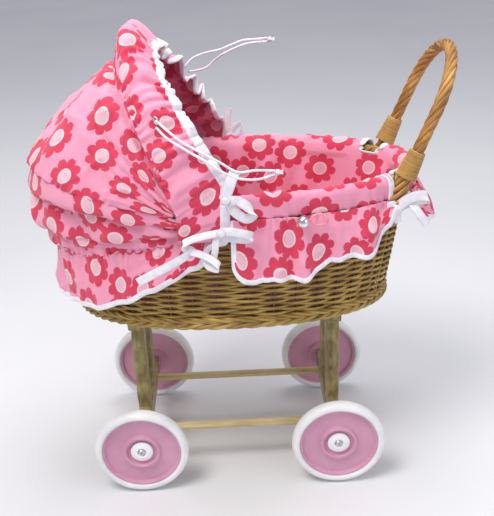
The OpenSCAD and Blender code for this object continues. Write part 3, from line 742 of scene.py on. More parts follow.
# %% Weave
STAKES = 44
unevenness = np.random.default_rng(7)
rows = []
turn = np.linspace(0, 2 * math.pi, STAKES * 5, endpoint=False)
heights = np.arange(BASE_Z + 0.0165, RIM_Z - 0.009, 0.00405)
for k, height in enumerate(heights):
    drift = np.cumsum(unevenness.normal(0, 1, len(turn)))
    drift -= np.linspace(0, drift[-1], len(turn))
    drift *= 0.0005 / max(np.abs(drift).max(), 1e-9)
    swing = 0.0024 * (1 - 2 * (k % 2)) * np.sin(STAKES / 2 * turn)
    inward = -0.0026 + swing
    outline = wall_curve(turn, height, inward)
    outline[:, 2] = height + drift
    rows.append(tube(f"weaver{k}", outline, (0, 0, 1), 0.00125, 0.00205, sides=6, ring=True, shift=0.031 * k))
woven = join("woven_wall", rows)
finish_piece(woven, WILLOW, "chassis", "willow", "basket_wall")

posts = []
for k in range(STAKES):
    t = 2 * math.pi * (k + 0.5) / STAKES
    line = np.linspace(wall_curve(t, BASE_Z + 0.010, -0.0028), wall_curve(t, RIM_Z - 0.008, -0.0028), 12)
    posts.append(tube(f"post{k}", line, (0, 1, 0), 0.0017, sides=8, shift=0.05 * k))
finish_piece(join("stake_posts", posts), STAKE, "chassis", "stake_willow", "stakes")
print("weavers:", len(rows), "stakes:", len(posts))


def rope(name, turn, base, rods, radius, offset, twists):
    """A closed rope laid along a ring: each rod circles the ring's line twists times, evenly spaced."""
    ahead = headings(base, ring=True)
    side = units(np.cross(ahead, (0, 0, 1.0)))
    strands = []
    for k in range(rods):
        phase = twists * turn + 2 * math.pi * k / rods
        line = base + offset * (np.cos(phase)[:, None] * side + np.sin(phase)[:, None]
                                * np.array([0, 0, 1.0]))
        strands.append(tube(f"{name}{k}", line, (0, 0, 1), radius, sides=8, ring=True, shift=0.07 * k))
    return strands


fine_turn = np.linspace(0, 2 * math.pi, 440, endpoint=False)
foot = rope("foot_low", fine_turn, wall_curve(fine_turn, BASE_Z + 0.0035, -0.0008), 3, 0.0026, 0.0026, 22)
foot += rope("foot_high", fine_turn, wall_curve(fine_turn, BASE_Z + 0.0105, -0.0012), 3, 0.0022, 0.0021, -22)
finish_piece(join("foot_wale", foot), WILLOW, "chassis", "willow", "foot_border")
rim = rope("rim", fine_turn, wall_curve(fine_turn, RIM_Z - 0.0055, -0.0042), 3, 0.0024, 0.0026, 30)
finish_piece(join("rim_wale", rim), WILLOW, "chassis", "willow", "rim_border")

# %% [markdown]
# ## The handle
# The handle is six willow rods laid in a long twist over a bow, bound at each foot with split cane, below
# which the rods fan out into the rim. Each rod runs along the bow's middle line and circles it as it goes.
# Below the binding the circle opens.

# %% Handle
HANDLE_FOOT, HANDLE_LEAN = np.array([MID + 0.206, 0.0, RIM_Z - 0.002]), math.radians(23.5)
HANDLE_UP = np.array([math.sin(HANDLE_LEAN), 0.0, math.cos(HANDLE_LEAN)])
HANDLE_HALF, HANDLE_HIGH = 0.073, 0.152


def handle_line(below):
    """The bow's middle line: two legs that lean in a little, joined by half an oval. It starts below the
    rim."""
    straight, top = 0.55 * HANDLE_HIGH, 0.96 * HANDLE_HALF
    v = np.linspace(-below, straight, 30)[:-1]
    u = -HANDLE_HALF + (HANDLE_HALF - top) * np.clip(v / straight, -1, 1)
    a = np.linspace(0, math.pi, 60)
    across = np.concatenate([u, -top * np.cos(a), -u[::-1]])
    up = np.concatenate([v, straight + (HANDLE_HIGH - straight) * np.sin(a), v[::-1]])
    return HANDLE_FOOT + up[:, None] * HANDLE_UP + across[:, None] * np.array([0, 1.0, 0])


arch = respace(handle_line(0.036), 260)
arch_up = (arch - HANDLE_FOOT) @ HANDLE_UP
arch_ahead = headings(arch)
arch_side = np.broadcast_to(units(np.cross(HANDLE_UP, (0, 1.0, 0))), arch.shape)
arch_over = np.cross(arch_ahead, arch_side)
spread = np.interp(arch_up, [-0.036, -0.020, 0.004, 0.012], [0.0078, 0.0078, 0.0052, 0.0045])
rods = []
for k in range(6):
    phase = 2 * math.pi * (k / 6 + lengths(arch) / 0.085)
    line = arch + spread[:, None] * (np.cos(phase)[:, None] * arch_side + np.sin(phase)[:, None] * arch_over)
    rods.append(tube(f"rod{k}", line, arch_side, 0.0028, sides=10, shift=0.09 * k))
finish_piece(join("handle_twist", rods), HANDLE_WILLOW, "chassis", "willow", "handle_rods")

for side, side_name in SIDES:
    climb = np.linspace(0.004, 0.037, 16 * 24)
    angle = 2 * math.pi * np.arange(len(climb)) / 24
    centre = HANDLE_FOOT + climb[:, None] * HANDLE_UP + (side
                                                         * (HANDLE_HALF - 0.035
                                                            * climb))[:, None] * (0, 1.0, 0)
    radius = np.interp(climb, [0.004, 0.037], [0.0118, 0.0088])[:, None]
    line = centre + radius * (np.cos(angle)[:, None] * arch_side[0] + np.sin(angle)[:, None]
                              * np.array([0, 1.0, 0]))
    wrap = tube(f"cane_binding_{side_name}", line, HANDLE_UP, 0.0012, 0.0012, sides=6)
    finish_piece(wrap, CANE, "chassis", "cane", f"binding_{side_name}")
print("handle:", len(rods), "rods,", f"{lengths(arch)[-1] * 1000:.0f} mm round")

# %% [markdown]
# ## Cloth surfaces
# All the cloth is sheet: the liner, the skirts that hang from it, and the hood. Each is a grid over two
# parameters, pushed in and out by folds. A fold is a few long waves across the cloth, strongest where it
# hangs free and dying away where it is sewn. Sewing leaves puckers, short waves that fade within a couple
# of centimetres of the seam. Each sheet's map is its own width and length in metres, so the print keeps its
# size. A sheet is thickened, and its reverse is a paler-printed side.


# %% Cloth helpers
def folds(across, waves, seed):
    """Sum of sines over the distance across, in metres: each wave is (length, height), with a seeded
    start and a slow drift of its own length."""
    rng = np.random.default_rng(seed)
    total = np.zeros_like(across)
    for long, high in waves:
        start, drift = rng.uniform(0, 2 * math.pi, 2)
        warp = 0.35 * long * np.sin(2 * math.pi * across / (3.7 * long) + drift)
        total += high * np.sin(2 * math.pi * (across + warp) / long + start)
    return total


def bump(x, centre, reach):
    """A soft bump, 1 at the centre: e to the power of minus the square of (x - centre) / reach."""
    return np.exp(-(((x - centre) / reach) ** 2))


def wrinkles(across, down, height, seed):
    """Soft creases: each is a ridge, 1 - |sin| squared, of the distance across it, in one of six seeded
    directions, and it shows only in patches."""
    rng = np.random.default_rng(seed)
    total = np.zeros(np.broadcast(across, down).shape)
    for way in np.linspace(0, math.pi, 6, endpoint=False) + rng.uniform(0, 0.5):
        start, gate = rng.uniform(0, 2 * math.pi, 2)
        over = across * math.cos(way) + down * math.sin(way)
        past = down * math.cos(way) - across * math.sin(way)
        ridge = 1 - np.abs(np.sin(math.pi * (over + 0.008 * np.sin(2 * math.pi * past / 0.09 + gate)) / 0.044
                                  + start))
        patch = np.clip(np.sin(2 * math.pi * past / 0.11 + gate) * np.sin(2 * math.pi * over / 0.17 + start),
                        0, 1)
        total += ridge**2 * patch
    return height * total


def facing(points):
    """Unit normal at each point of a grid: the cross product of the step across and the step down."""
    normal = np.cross(np.gradient(points, axis=1), np.gradient(points, axis=0))
    return normal / np.maximum(np.linalg.norm(normal, axis=-1, keepdims=True), 1e-12)


def pushed(points, amount):
    """Moves each point of a grid along the sheet's own normal."""
    return points + facing(points) * amount[..., None]


def softened(line, passes):
    """Rounds a line's corners: each pass moves a point to a quarter, a half and a quarter of its
    neighbourhood."""
    line = line.copy()
    for _ in range(passes):
        line[1:-1] = (line[:-2] + 2 * line[1:-1] + line[2:]) / 4
    return line


def sheet_chart(points, start=(0.0, 0.0)):
    """Map of a sheet: across is the mean distance along its rows, down the mean distance down its columns."""
    across = np.mean([lengths(points[k]) for k in (0, len(points) // 2, -1)], axis=0)
    step = np.linalg.norm(np.diff(points, axis=0), axis=2).mean(axis=1)
    down = np.concatenate([[0.0], np.cumsum(step)])
    return np.stack([start[0] + np.broadcast_to(across[None], points.shape[:2]),
                     start[1] + np.broadcast_to(down[:, None], points.shape[:2])], axis=-1)


def sew(made, body, node):
    finish_piece(made, PRINT, body, "print_cloth", node)
    made.data.materials.append(REVERSE)
    thicken(made, CLOTH_THICK).material_offset = 1
    return made


def outwards(line):
    """Level unit directions from the basket's middle line to the points of a line."""
    away = (line - np.array([MID, 0, 0])) * (1 / RIM_A, 1 / RIM_B, 0)
    return units(away * (1 / RIM_A, 1 / RIM_B, 1))


def tape(name, line, face, width=0.0056, thick=0.0026, body="chassis"):
    """White bias tape folded over an edge: a flattened tube along it, flat against the direction it faces."""
    return finish_piece(tube(name, line, face, width / 2, thick / 2, sides=16, power=3.2), TAPE, body,
                        "white_tape")


# %% [markdown]
# ## The liner
# The liner is a bag with a flat floor. It stands up inside the wall, folds out over the rim, and comes down
# to the line where the skirts are gathered. Its profile lists half the length, the height and half the
# width of the bag on the way up and over, smoothed, and every level is a squared oval. At the handle's feet
# the fold is cut away, and the edge of each cut is bound with tape.

# %% Liner
knots = np.array([(0.1830, 0.2390, 0.0870), (0.1852, 0.2425, 0.0887), (0.1885, 0.2600, 0.0900),
                  (0.1918, 0.280, 0.0919),
                  (0.2007, 0.330, 0.0962), (0.2080, 0.368, 0.1000), (0.2140, 0.392, 0.1040),
                  (0.2195, 0.4005, 0.1088),
                  (0.2256, 0.4036, 0.1145), (0.2295, 0.4025, 0.1185), (0.2322, 0.397, 0.1212),
                  (0.2326, 0.386, 0.1216), (0.2322, 0.3765, 0.1212)])
profile = smooth_line(knots, 66)
FLOOR_ROWS = 14
crest_row = FLOOR_ROWS + int(np.argmax(profile[:, 1]))
turn = np.linspace(2 * math.pi, 0, 361)
x, y = oval(profile[:, :1], profile[:, 2:], POWER_RIM, turn[None])
sides = np.stack(np.broadcast_arrays(MID + x, y, profile[:, 1:2]), axis=-1)
share = np.linspace(0, 0.965, FLOOR_ROWS)[:, None, None]
bottom = np.array([MID, 0, 0.2390]) + (sides[0] - (MID, 0, 0.2390)) * share
base = np.concatenate([bottom, sides])
around = lengths(sides[40])
level = np.concatenate([np.full(FLOOR_ROWS, 0.239), profile[:, 1]])
past_top = np.arange(len(base)) > crest_row
loose = np.where(past_top, 0.16, np.interp(level, [0.240, 0.270, 0.350, 0.392, 0.4036],
                                           [0, 1.2, 1.3, 0.7, 0.25]))
climb = np.clip((level - 0.24) / 0.16, 0, 1)[:, None]
lean = around[None] + 0.045 * climb
amount = loose[:, None] * (folds(lean, [(0.105, 0.0034), (0.067, 0.0020)], 3)
                           + climb * folds(around[None] - 0.06 * climb, [(0.041, 0.0013)], 5))
seam = np.zeros(len(base))
seam[-26:] = np.linspace(0, 1, 26) ** 1.5
rim_wave = bump(np.arange(len(base)), crest_row, 7.0)
amount = amount + seam[:, None] * folds(around, [(0.0125, 0.0011), (0.0078, 0.0006)], 8)[None]
amount = amount + rim_wave[:, None] * folds(around, [(0.031, 0.0013), (0.017, 0.0007)], 9)[None]
amount *= (1 - np.clip((np.cos(turn) - 0.985) / 0.015, 0, 1))[None]
over_rim = np.clip((level - 0.372) / 0.012, 0, 1)[:, None]
amount = np.maximum(amount, -0.0300 * (1 - over_rim) - 0.0005 * over_rim)
liner_points = pushed(base, amount)
liner_points[:, -1] = liner_points[:, 0]
depth = np.concatenate([np.linspace(-0.08, -0.003, FLOOR_ROWS), lengths(profile)])
chart = np.stack(np.broadcast_arrays(around[None], depth[:, None]), axis=-1).copy()
chart[:FLOOR_ROWS] = liner_points[:FLOOR_ROWS, :, :2]


def slot_columns(side):
    """First and last column of the cut round one foot of the handle."""
    place = np.abs(base[-8, :, 1] - side * 0.0660) + (base[-8, :, 0] < MID)
    middle = int(np.argmin(place))
    return middle - 6, middle + 6


slot_row = crest_row - 7
liner = grid_mesh("liner", liner_points, chart=chart)
work = bmesh.new()
work.from_mesh(liner.data)
work.faces.ensure_lookup_table()
columns = liner_points.shape[1] - 1
gone = [work.faces[i * columns + j] for side in (-1, 1) for j in range(*slot_columns(side))
        for i in range(slot_row, len(base) - 1)]
bmesh.ops.delete(work, geom=gone, context="FACES")
bmesh.ops.remove_doubles(work, verts=work.verts, dist=1e-6)
work.to_mesh(liner.data)
work.free()
sew(liner, "chassis", "basket_liner")
for side, side_name in SIDES:
    a, b = slot_columns(side)
    edge = np.concatenate([liner_points[:slot_row - 1:-1, a], liner_points[slot_row, a + 1:b],
                           liner_points[slot_row:, b]])
    edge = respace(softened(edge, 4), 90)
    face = np.tile(np.array([0, 0, 1.0]), (90, 1)) + 1.2 * outwards(edge) * np.clip((0.403 - edge[:, 2:]) / 0.008, 0, 1)
    tape(f"slot_tape_{side_name}", edge, units(face), width=0.0085, thick=0.0026)
print("liner points:", liner_points.shape)

# %% [markdown]
# ## The skirts
# Below the gathering line hang three skirts: a long one on each side, and a short flap at the handle end.
# Their cloth is half as long again as the seam it is gathered into, so it swells into soft rounded folds,
# and the hem rises and falls with them. A skirt's outline is cut from the rim's oval; its hem is a smooth
# list of heights.


# %% Skirts
def rim_outline(first, last, count, grow=0.0062):
    """The rim's oval grown outwards, between two angles in degrees, as evenly spaced points."""
    turn = np.radians(np.linspace(first, last, 600))
    x, y = oval(RIM_A + grow, RIM_B + grow, POWER_RIM, turn)
    return respace(np.stack([MID + x, y, np.full(600, GATHER_Z)], axis=-1), count)


def skirt_points(outline, hem, seed, flare=0.010, rows=42):
    """Grid of a skirt: rows run down from the seam to the hem. A point leaves the outline by a flare that
    grows with depth and by folds that grow with its square root; hem is the height of the hem at each
    column."""
    along = lengths(outline)
    s = np.linspace(0, 1, rows)[:, None]
    wave = folds(along, [(0.052, 0.0052), (0.034, 0.0030), (0.021, 0.0009)], seed)
    soft = folds(along[None] + 0.03 * s, [(0.078, 0.0024)], seed + 1)
    puck = folds(along, [(0.0118, 0.0014), (0.0075, 0.0008)], seed + 2)
    ends = np.clip(np.minimum(along, along[-1] - along) / 0.012, 0, 1)[None]
    push = flare * s**0.8 + ends * (wave[None] * s**0.6 + soft
                                    * np.sin(math.pi * s * 0.8)) + puck[None] * np.exp(-s / 0.11)
    push = np.maximum(push + wrinkles(along[None], 0.07 * s, 0.0022, seed + 3), -0.0004 + 0.0022 * s)
    hem = hem - 0.30 * softened(wave - wave.mean(), 30)
    points = outline[None] + outwards(outline)[None] * push[..., None]
    points[..., 2] = GATHER_Z + 0.0010 + (hem[None] - GATHER_Z) * s
    return points


def bound_edge(points):
    """The edge that is bound: down the first column, along the last row, and up the last column."""
    edge = np.concatenate([points[:, 0], points[-1, 1:-1], points[::-1, -1]])
    return softened(respace(edge, 420), 8)


def bind(name, points, width=0.0062):
    """Binds a skirt's sides and hem with tape."""
    edge = bound_edge(points)
    tape(name, edge, outwards(edge), width=width)


def hem_of(outline, knots):
    """Hem height at each point: the smooth curve through knots of (distance along the pram, height)."""
    curve = smooth_line(np.column_stack([np.array(knots), np.zeros(len(knots))]), 120)
    return np.interp(outline[:, 0] - MID, curve[:, 0], curve[:, 1])


SIDE_HEM = [(-0.004, 0.350), (0.004, 0.322), (0.013, 0.3085), (0.028, 0.3030), (0.048, 0.3035),
            (0.072, 0.3010),
            (0.098, 0.3110), (0.126, 0.3225), (0.152, 0.3205), (0.170, 0.3300), (0.182, 0.3480),
            (0.189, 0.366)]
for side, side_name, seed in ((-1, "near", 21), (1, "far", 33)):
    outline = rim_outline(-36.8, -89.4, 330)
    points = skirt_points(outline, hem_of(outline, SIDE_HEM), seed)
    if side == 1:
        points = (points * (1, -1, 1))[:, ::-1]
    skirt = grid_mesh(f"side_skirt_{side_name}", points, chart=sheet_chart(points, (0.11 * side, 0.4)))
    sew(skirt, "chassis", f"skirt_{side_name}")
    bind(f"skirt_tape_{side_name}", points)

outline = rim_outline(24, -24, 150)
across = np.abs(outline[:, 1]) / 0.058
points = skirt_points(outline, 0.3280 + 0.022 * across**2, 47, flare=0.016)
flap = grid_mesh("end_flap", points, chart=sheet_chart(points, (0.7, 0.1)))
sew(flap, "chassis", "skirt_end")
bind("end_flap_tape", points)

# %% [markdown]
# ## The hood's wires
# Two wire hoops turn on pins at the basket's sides. A hoop is half of a squared oval that leans back from
# its pins, and its two ends are closed into eyes.


# %% Hoops
def hoop_curve(foot, tilt, rise, half, t, power=2.2):
    """Point at angle t of a hoop, 0 at the near pin: half wide, rise long, leaning by tilt degrees."""
    y, up = oval(half, rise, power, t)
    lean = np.radians(tilt)
    return np.stack(np.broadcast_arrays(MID + foot[0] + up * np.cos(lean), -y, foot[2] + up * np.sin(lean)),
                    axis=-1)


for name, size in (("front", FRONT), ("rear", REAR)):
    lean = math.radians(size["tilt"])
    line = hoop_curve(PIN, size["tilt"], size["rise"], size["half"],
                      np.radians(np.linspace(0.75, 179.25, 300)))
    wires = [tube(f"{name}_wire", respace(line, 160), (-math.sin(lean), 0, math.cos(lean)), 0.0016, sides=12)]
    ring = np.linspace(0, 2 * math.pi, 40, endpoint=False)
    for side in (-1, 1):
        eye = np.column_stack([MID + PIN[0] + 0.0034 * np.cos(ring), np.full(40, side * size["half"]),
                               PIN[2] + 0.0034 * np.sin(ring)])
        wires.append(tube(f"{name}_eye{side}", eye, (0, 1, 0), 0.0011, sides=10, ring=True))
    finish_piece(join(f"{name}_wire_hoop", wires), WIRE_WHITE, f"hood_{name}", "hoop_wire", f"{name}_hoop")

# %% [markdown]
# ## The crown
# The crown is stretched between the hoops and sags a little between them. Each row leans by its own share
# of the angle between the two hoops, so the cloth meets both. Drag folds run from the pins up into the
# cloth, and both seams are puckered.

# %% Crown
t = np.radians(np.linspace(2.5, 177.5, 300))[None, :]
s = np.linspace(-0.030, 1.030, 120)[:, None]
inner = np.clip(s, 0, 1)
sag = 0.0150 * np.sin(math.pi * inner) * np.sin(t) ** 0.6
crown_base = hoop_curve(PIN, FRONT["tilt"] + (REAR["tilt"] - FRONT["tilt"]) * s,
                        FRONT["rise"] + (REAR["rise"] - FRONT["rise"]) * s + 0.0032 - sag,
                        FRONT["half"] + (REAR["half"] + 0.003 - FRONT["half"]) * s + 0.0032, t)
along = lengths(crown_base[60])[None]
swell = np.sin(math.pi * inner)
low = bump(np.sin(t), 0, 0.62)
amount = (swell * (folds(along + 0.05 * s, [(0.120, 0.0030), (0.070, 0.0014)], 51)
                   + low * 0.0026 * np.sin(2 * math.pi * (3.1 * s + along / 0.21)))
          + folds(along, [(0.0135, 0.0011), (0.0086, 0.0006)], 52)
          * (np.exp(-inner / 0.07) + 0.7 * np.exp(-(1 - inner) / 0.05))
          - 0.0085 * bump(s, 0.085, 0.034))
for height, centre, slant, reach in ((0.0034, 0.17, 0, 0.05), (-0.0042, 0.28, 0.16, 0.03),
                                     (0.0034, 0.36, 0.16, 0.05),
                                     (-0.0036, 0.66, -0.10, 0.04)):
    amount = amount + height * low * bump(s, centre + slant * np.sin(t), reach)
amount = amount + wrinkles(along, 0.105 * s, 0.0026, 55)
crown_points = pushed(crown_base, amount * np.clip(np.sin(t) / 0.22, 0, 1))
crown = grid_mesh("hood_crown_cloth", crown_points, chart=sheet_chart(crown_points, (0.31, 0.12)))
sew(crown, None, "hood_crown")
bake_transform(crown)

# %% [markdown]
# ## The drop and the hood's skirt
# From the rear hoop the cloth drops round the basket's end to a gathering line, and below that hangs a
# skirt with a long curved hem. The drop's plan starts as the hoop's and turns into the basket's own oval
# within the first third of the way down.


# %% Drop and hood skirt
def gather_height(x):
    """Height of the hood's gathering line: it falls from the pins towards the hood end. x is from MID."""
    return 0.350 - 0.032 * np.clip((-x - 0.052) / 0.150, 0, 1)


turn = np.linspace(math.radians(261), math.radians(99), 300)
hoop_t = (math.radians(261) - turn) / math.radians(162) * math.radians(177) + math.radians(1.5)
top = hoop_curve(PIN, REAR["tilt"] + 0.2, REAR["rise"] + 0.0020, REAR["half"] + 0.0048, hoop_t)
low_x = oval(RIM_A, RIM_B, POWER_RIM, turn)[0]
low_z = gather_height(low_x)
s = np.linspace(0, 1, 64)[:, None]
height = top[None, :, 2] - 0.0012 + (low_z[None] - top[None, :, 2]) * s
wide_x = np.interp(height, [0.318, 0.350, 0.376, 0.400, 0.430], [0.2190, 0.2262, 0.2352, 0.2352, 0.2370])
wide_y = np.interp(height, [0.318, 0.350, 0.376, 0.400, 0.430], [0.1160, 0.1192, 0.1248, 0.1252, 0.1270])
x, y = oval(wide_x, wide_y, POWER_RIM, turn[None])
share = np.clip(s / 0.34, 0, 1)
share = (3 - 2 * share) * share**2
drop_base = np.stack([top[None, :, 0] * (1 - share) + (MID + x) * share,
                      top[None, :, 1] * (1 - share) + y * share, height],
                     axis=-1)
along = lengths(drop_base[40])[None]
long_way = (top[:, 2] - low_z)[None] / 0.113
amount = (long_way * np.sin(math.pi * s) * folds(along + 0.10 * s, [(0.094, 0.0036), (0.055, 0.0022)], 61)
          + folds(along, [(0.0128, 0.0017), (0.0081, 0.0009)], 62) * np.exp(-(1 - s) / 0.13)
          + folds(along, [(0.0140, 0.0008)], 63) * np.exp(-s / 0.05))
for centre, breadth, out, sag in ((0.15, 0.075, 0.0080, 0.0120), (0.52, 0.11, 0.0070, 0.0140),
                                  (0.82, 0.07, 0.0036, 0.0060)):
    tilted = centre + 0.05 * np.sin(2 * math.pi * along / 0.23 + 9 * centre)
    swag = long_way * bump(s, tilted, breadth)
    amount = amount + out * swag
    drop_base = drop_base - np.stack([0 * swag, 0 * swag, sag * swag * np.clip(s / 0.1, 0, 1)], axis=-1)
drop_points = pushed(drop_base, amount + wrinkles(along, 0.077 * s, 0.0030, 65) * np.sin(math.pi * s))
drop = grid_mesh("hood_drop_cloth", drop_points, chart=sheet_chart(drop_points, (0.05, 0.63)))
sew(drop, None, "hood_drop")
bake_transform(drop)

turn = np.radians(np.linspace(269.3, 90.7, 900))
x, y = oval(RIM_A, RIM_B, POWER_RIM, turn)
outline = respace(np.stack([MID + x, y, np.zeros(900)], axis=-1), 420)
turn = np.arctan2(np.sign(outline[:, 1]) * np.abs(outline[:, 1] / RIM_B) ** 1.1,
                  np.sign(outline[:, 0] - MID) * np.abs((outline[:, 0] - MID) / RIM_A) ** 1.1)
front_corner = np.clip((outline[:, 0] - MID + 0.068) / 0.016, 0, 1)
seam_z = gather_height(outline[:, 0] - MID) + 0.0012 + 0.0245 * front_corner
HOOD_HEM = [(-0.232, 0.2500), (-0.218, 0.2520), (-0.196, 0.2570), (-0.165, 0.2630), (-0.128, 0.2760),
            (-0.082, 0.3010), (-0.052, 0.3150), (-0.036, 0.3240), (-0.026, 0.3450), (-0.012, 0.3510),
            (-0.002, 0.3520)]
hem_z = hem_of(outline, HOOD_HEM)
along = lengths(outline)
s = np.linspace(0, 1, 46)[:, None]
wave = folds(along, [(0.066, 0.0040), (0.043, 0.0020), (0.024, 0.0007)], 71)
hem_z = hem_z - 0.25 * softened(wave - wave.mean(), 40) * np.clip((0.345 - hem_z) / 0.05, 0, 1)
height = seam_z[None] + (hem_z - seam_z)[None] * s
drop_by = np.clip((seam_z - hem_z) / 0.06, 0.25, 1)[None]
push = (0.0068 + (0.013 - 0.0065 * front_corner[None]) * s + drop_by * wave[None] * s**0.7
        + drop_by * folds(along[None] + 0.03 * s, [(0.083, 0.0022)], 72) * np.sin(math.pi * s)
        + folds(along, [(0.0125, 0.0018), (0.0083, 0.0010)], 73)[None] * np.exp(-s / 0.22)
        + wrinkles(along[None], 0.056 * s, 0.0028, 75))
base = wall_curve(turn[None], height, 0.0)
hood_skirt_points = base + outwards(base.reshape(-1, 3)).reshape(base.shape) * np.maximum(push, 0.004)[..., None]
hood_skirt = grid_mesh("hood_skirt_cloth", hood_skirt_points,
                       chart=sheet_chart(hood_skirt_points, (0.4, 0.9)))
sew(hood_skirt, "chassis", "hood_skirt")
bind("hood_skirt_tape", hood_skirt_points, width=0.0068)

# %% [markdown]
# ## The brim
# In front of the front hoop stands the brim. Its edge is drawn in by elastic inside a white tape, so it
# ruffles, and the ruffles swing most on the far side where the elastic is slack. At the top of the far side
# the elastic is pulled so tight that the tape bunches up. The brim's crest swells upwards between the hoop
# and the edge.

# %% Brim
def with_aprons(edge, step):
    """Carries a curve on beyond both its ends by the same step, mirrored, in 30 points."""
    near = edge[:, -1:] + np.linspace(0, 1, 31)[1:, None] * np.array(step)
    return np.concatenate([(near * (1, -1, 1))[:, ::-1], edge, near], axis=1)


t = np.radians(np.linspace(178, 2, 420))[None, :]
s = np.linspace(-0.06, 1, 70)[:, None]
a = hoop_curve(PIN, FRONT["tilt"], FRONT["rise"] + 0.0050, FRONT["half"] + 0.0048, t)
b = hoop_curve((0.018, 0, 0.392), 122.0, 0.1804, 0.1238, np.radians(np.linspace(170, 10, 420))[None, :], 2.1)
a, b = with_aprons(a, (0.0, 0.003, -0.037)), with_aprons(b, (-0.0045, -0.005, -0.067))
t = np.pad(t, ((0, 0), (30, 30)), mode="edge")
within = np.clip(s, 0, 1)
crest = 0.030 * np.sin(t) ** 3 * np.sin(math.pi * within**0.8)
brim_base = a * (1 - s[..., None]) + b * s[..., None]
brim_base = brim_base + np.stack([-0.15 * crest, np.zeros_like(crest), crest], axis=-1)
along = lengths(brim_base[-8])[None]
far = 1 / (1 + np.exp((np.cos(t) + 0.02) / 0.12))
room = np.clip(np.sin(t) / 0.16, 0, 1)
ruffle = folds(along, [(0.0210, 0.0016), (0.0132, 0.0007)], 81) + far * folds(along, [(0.0290, 0.0085)], 82)
amount = (within**2.2 * ruffle + folds(along, [(0.0122, 0.0018), (0.0079, 0.0010)], 83)
          * np.exp(-(1 - s) / 0.22)
          + np.sin(math.pi * within) * folds(along, [(0.058, 0.0028), (0.033, 0.0018)], 84)
          + np.sin(math.pi * within) ** 0.5 * folds(along + 0.004 * s, [(0.0145, 0.0013)], 87)
          + folds(along, [(0.0130, 0.0019)], 85) * np.exp(-within / 0.13))
brim_points = pushed(brim_base, (amount + wrinkles(along, 0.048 * s, 0.0024, 88)) * room)
brim_points[..., 2] += room * far * within**3 * 0.0050 * np.sin(2 * math.pi * along / 0.0285)
brim = grid_mesh("hood_brim_cloth", brim_points, chart=sheet_chart(brim_points, (0.52, 0.33)))
sew(brim, "hood_front", "hood_brim")
edge = softened(brim_points[-3], 3)
face = units(softened(facing(brim_points)[-3], 6))
gathered = bump(t[0], math.radians(104), 0.20)
grid = tube_points(edge, face, 0.0058 - 0.0022 * np.clip(far[0], 0, 1) + 0.0030 * gathered, 0.0017, 16,
                   power=3.2)
bunch = (0.3 + gathered) * folds(lengths(edge), [(0.0068, 0.0009), (0.0107, 0.0006)], 86)
grid = grid + (face * bunch[:, None])[:, None]
tape_piece = grid_mesh("brim_tape", grid, tube=True, caps=True, chart=tube_chart(edge, 0.02, len(edge), 16))
finish_piece(tape_piece, TAPE, "hood_front", "white_tape")
eyelet = np.linspace(0, 2 * math.pi, 32, endpoint=False)
stitch = NEAR_A[0] + 0.0034 * (np.cos(eyelet)[:, None] * units(NEAR_A[6] - NEAR_A[0])
                               + np.sin(eyelet)[:, None] * np.array([0.1, 0.3, 1.0]) / 1.05)
finish_piece(tube("brim_eyelet", stitch, (0, 1, 0), 0.0009, sides=8, ring=True), STEEL, "hood_front",
             "hoop_wire")

# %% [markdown]
# ## Ribbons, bows and buttons
# The ties are white tape. A ribbon is a thin flat tube along a smooth path, with its width held close to
# one chosen direction while the path turns, so a loop folds over on itself as real tape does. A bow here is
# two or three ribbons and a short wrapped knot. The lower bow also has a long tail laid along the hood's
# skirt.


# %% Ribbons
def ribbon(name, knots, width_way, width=0.0095, count=90):
    """A ribbon through knots in millimetres from the middle of the wheelbase. Its width lies along width_way,
    less the part of width_way that runs along the path."""
    line = smooth_line(np.array(knots, float) / 1000 + (MID, 0, 0), count)
    hint = np.cross(np.asarray(width_way, float), headings(line))
    return tube(name, line, hint, width / 2, 0.00055, sides=12)


def tie_knot(name, centre, across, up, size=(0.0062, 0.0050, 0.0042)):
    """A wrapped knot: an egg with two creases round it, in axes across and up."""
    u = np.linspace(0.02, math.pi - 0.02, 20)[:, None]
    v = np.linspace(0, 2 * math.pi, 24, endpoint=False)[None]
    out = units(np.cross(across, up))
    swell = 1 + 0.07 * np.sin(5 * u + 1.5 * np.sin(v))
    local = (size[0] * np.cos(u) * np.asarray(across, float)[:, None, None] + 0 * v,
             size[1] * np.sin(u) * np.cos(v) * swell * np.asarray(up, float)[:, None, None],
             size[2] * np.sin(u) * np.sin(v) * swell * np.asarray(out, float)[:, None, None])
    grid = np.moveaxis(sum(np.broadcast_arrays(*local)), 0, -1) + np.array(centre) / 1000 + (MID, 0, 0)
    return grid_mesh(name, grid, tube=True, caps=True)


def bow(name, node, ribbons, knot, across, far):
    """One bow: ribbons of (knots, width direction, width) and a knot. far mirrors it to the other side."""
    flip = (1, -1, 1) if far else (1, 1, 1)
    parts = [ribbon(f"{name}{k}", np.array(knots) * flip, np.array(way) * flip, width)
             for k, (knots, way, width) in enumerate(ribbons)]
    parts.append(tie_knot(f"{name}_knot", np.array(knot) * flip, np.array(across) * flip, (0, 0, 1)))
    return finish_piece(join(name, parts), TAPE, "chassis", "white_tape", node)


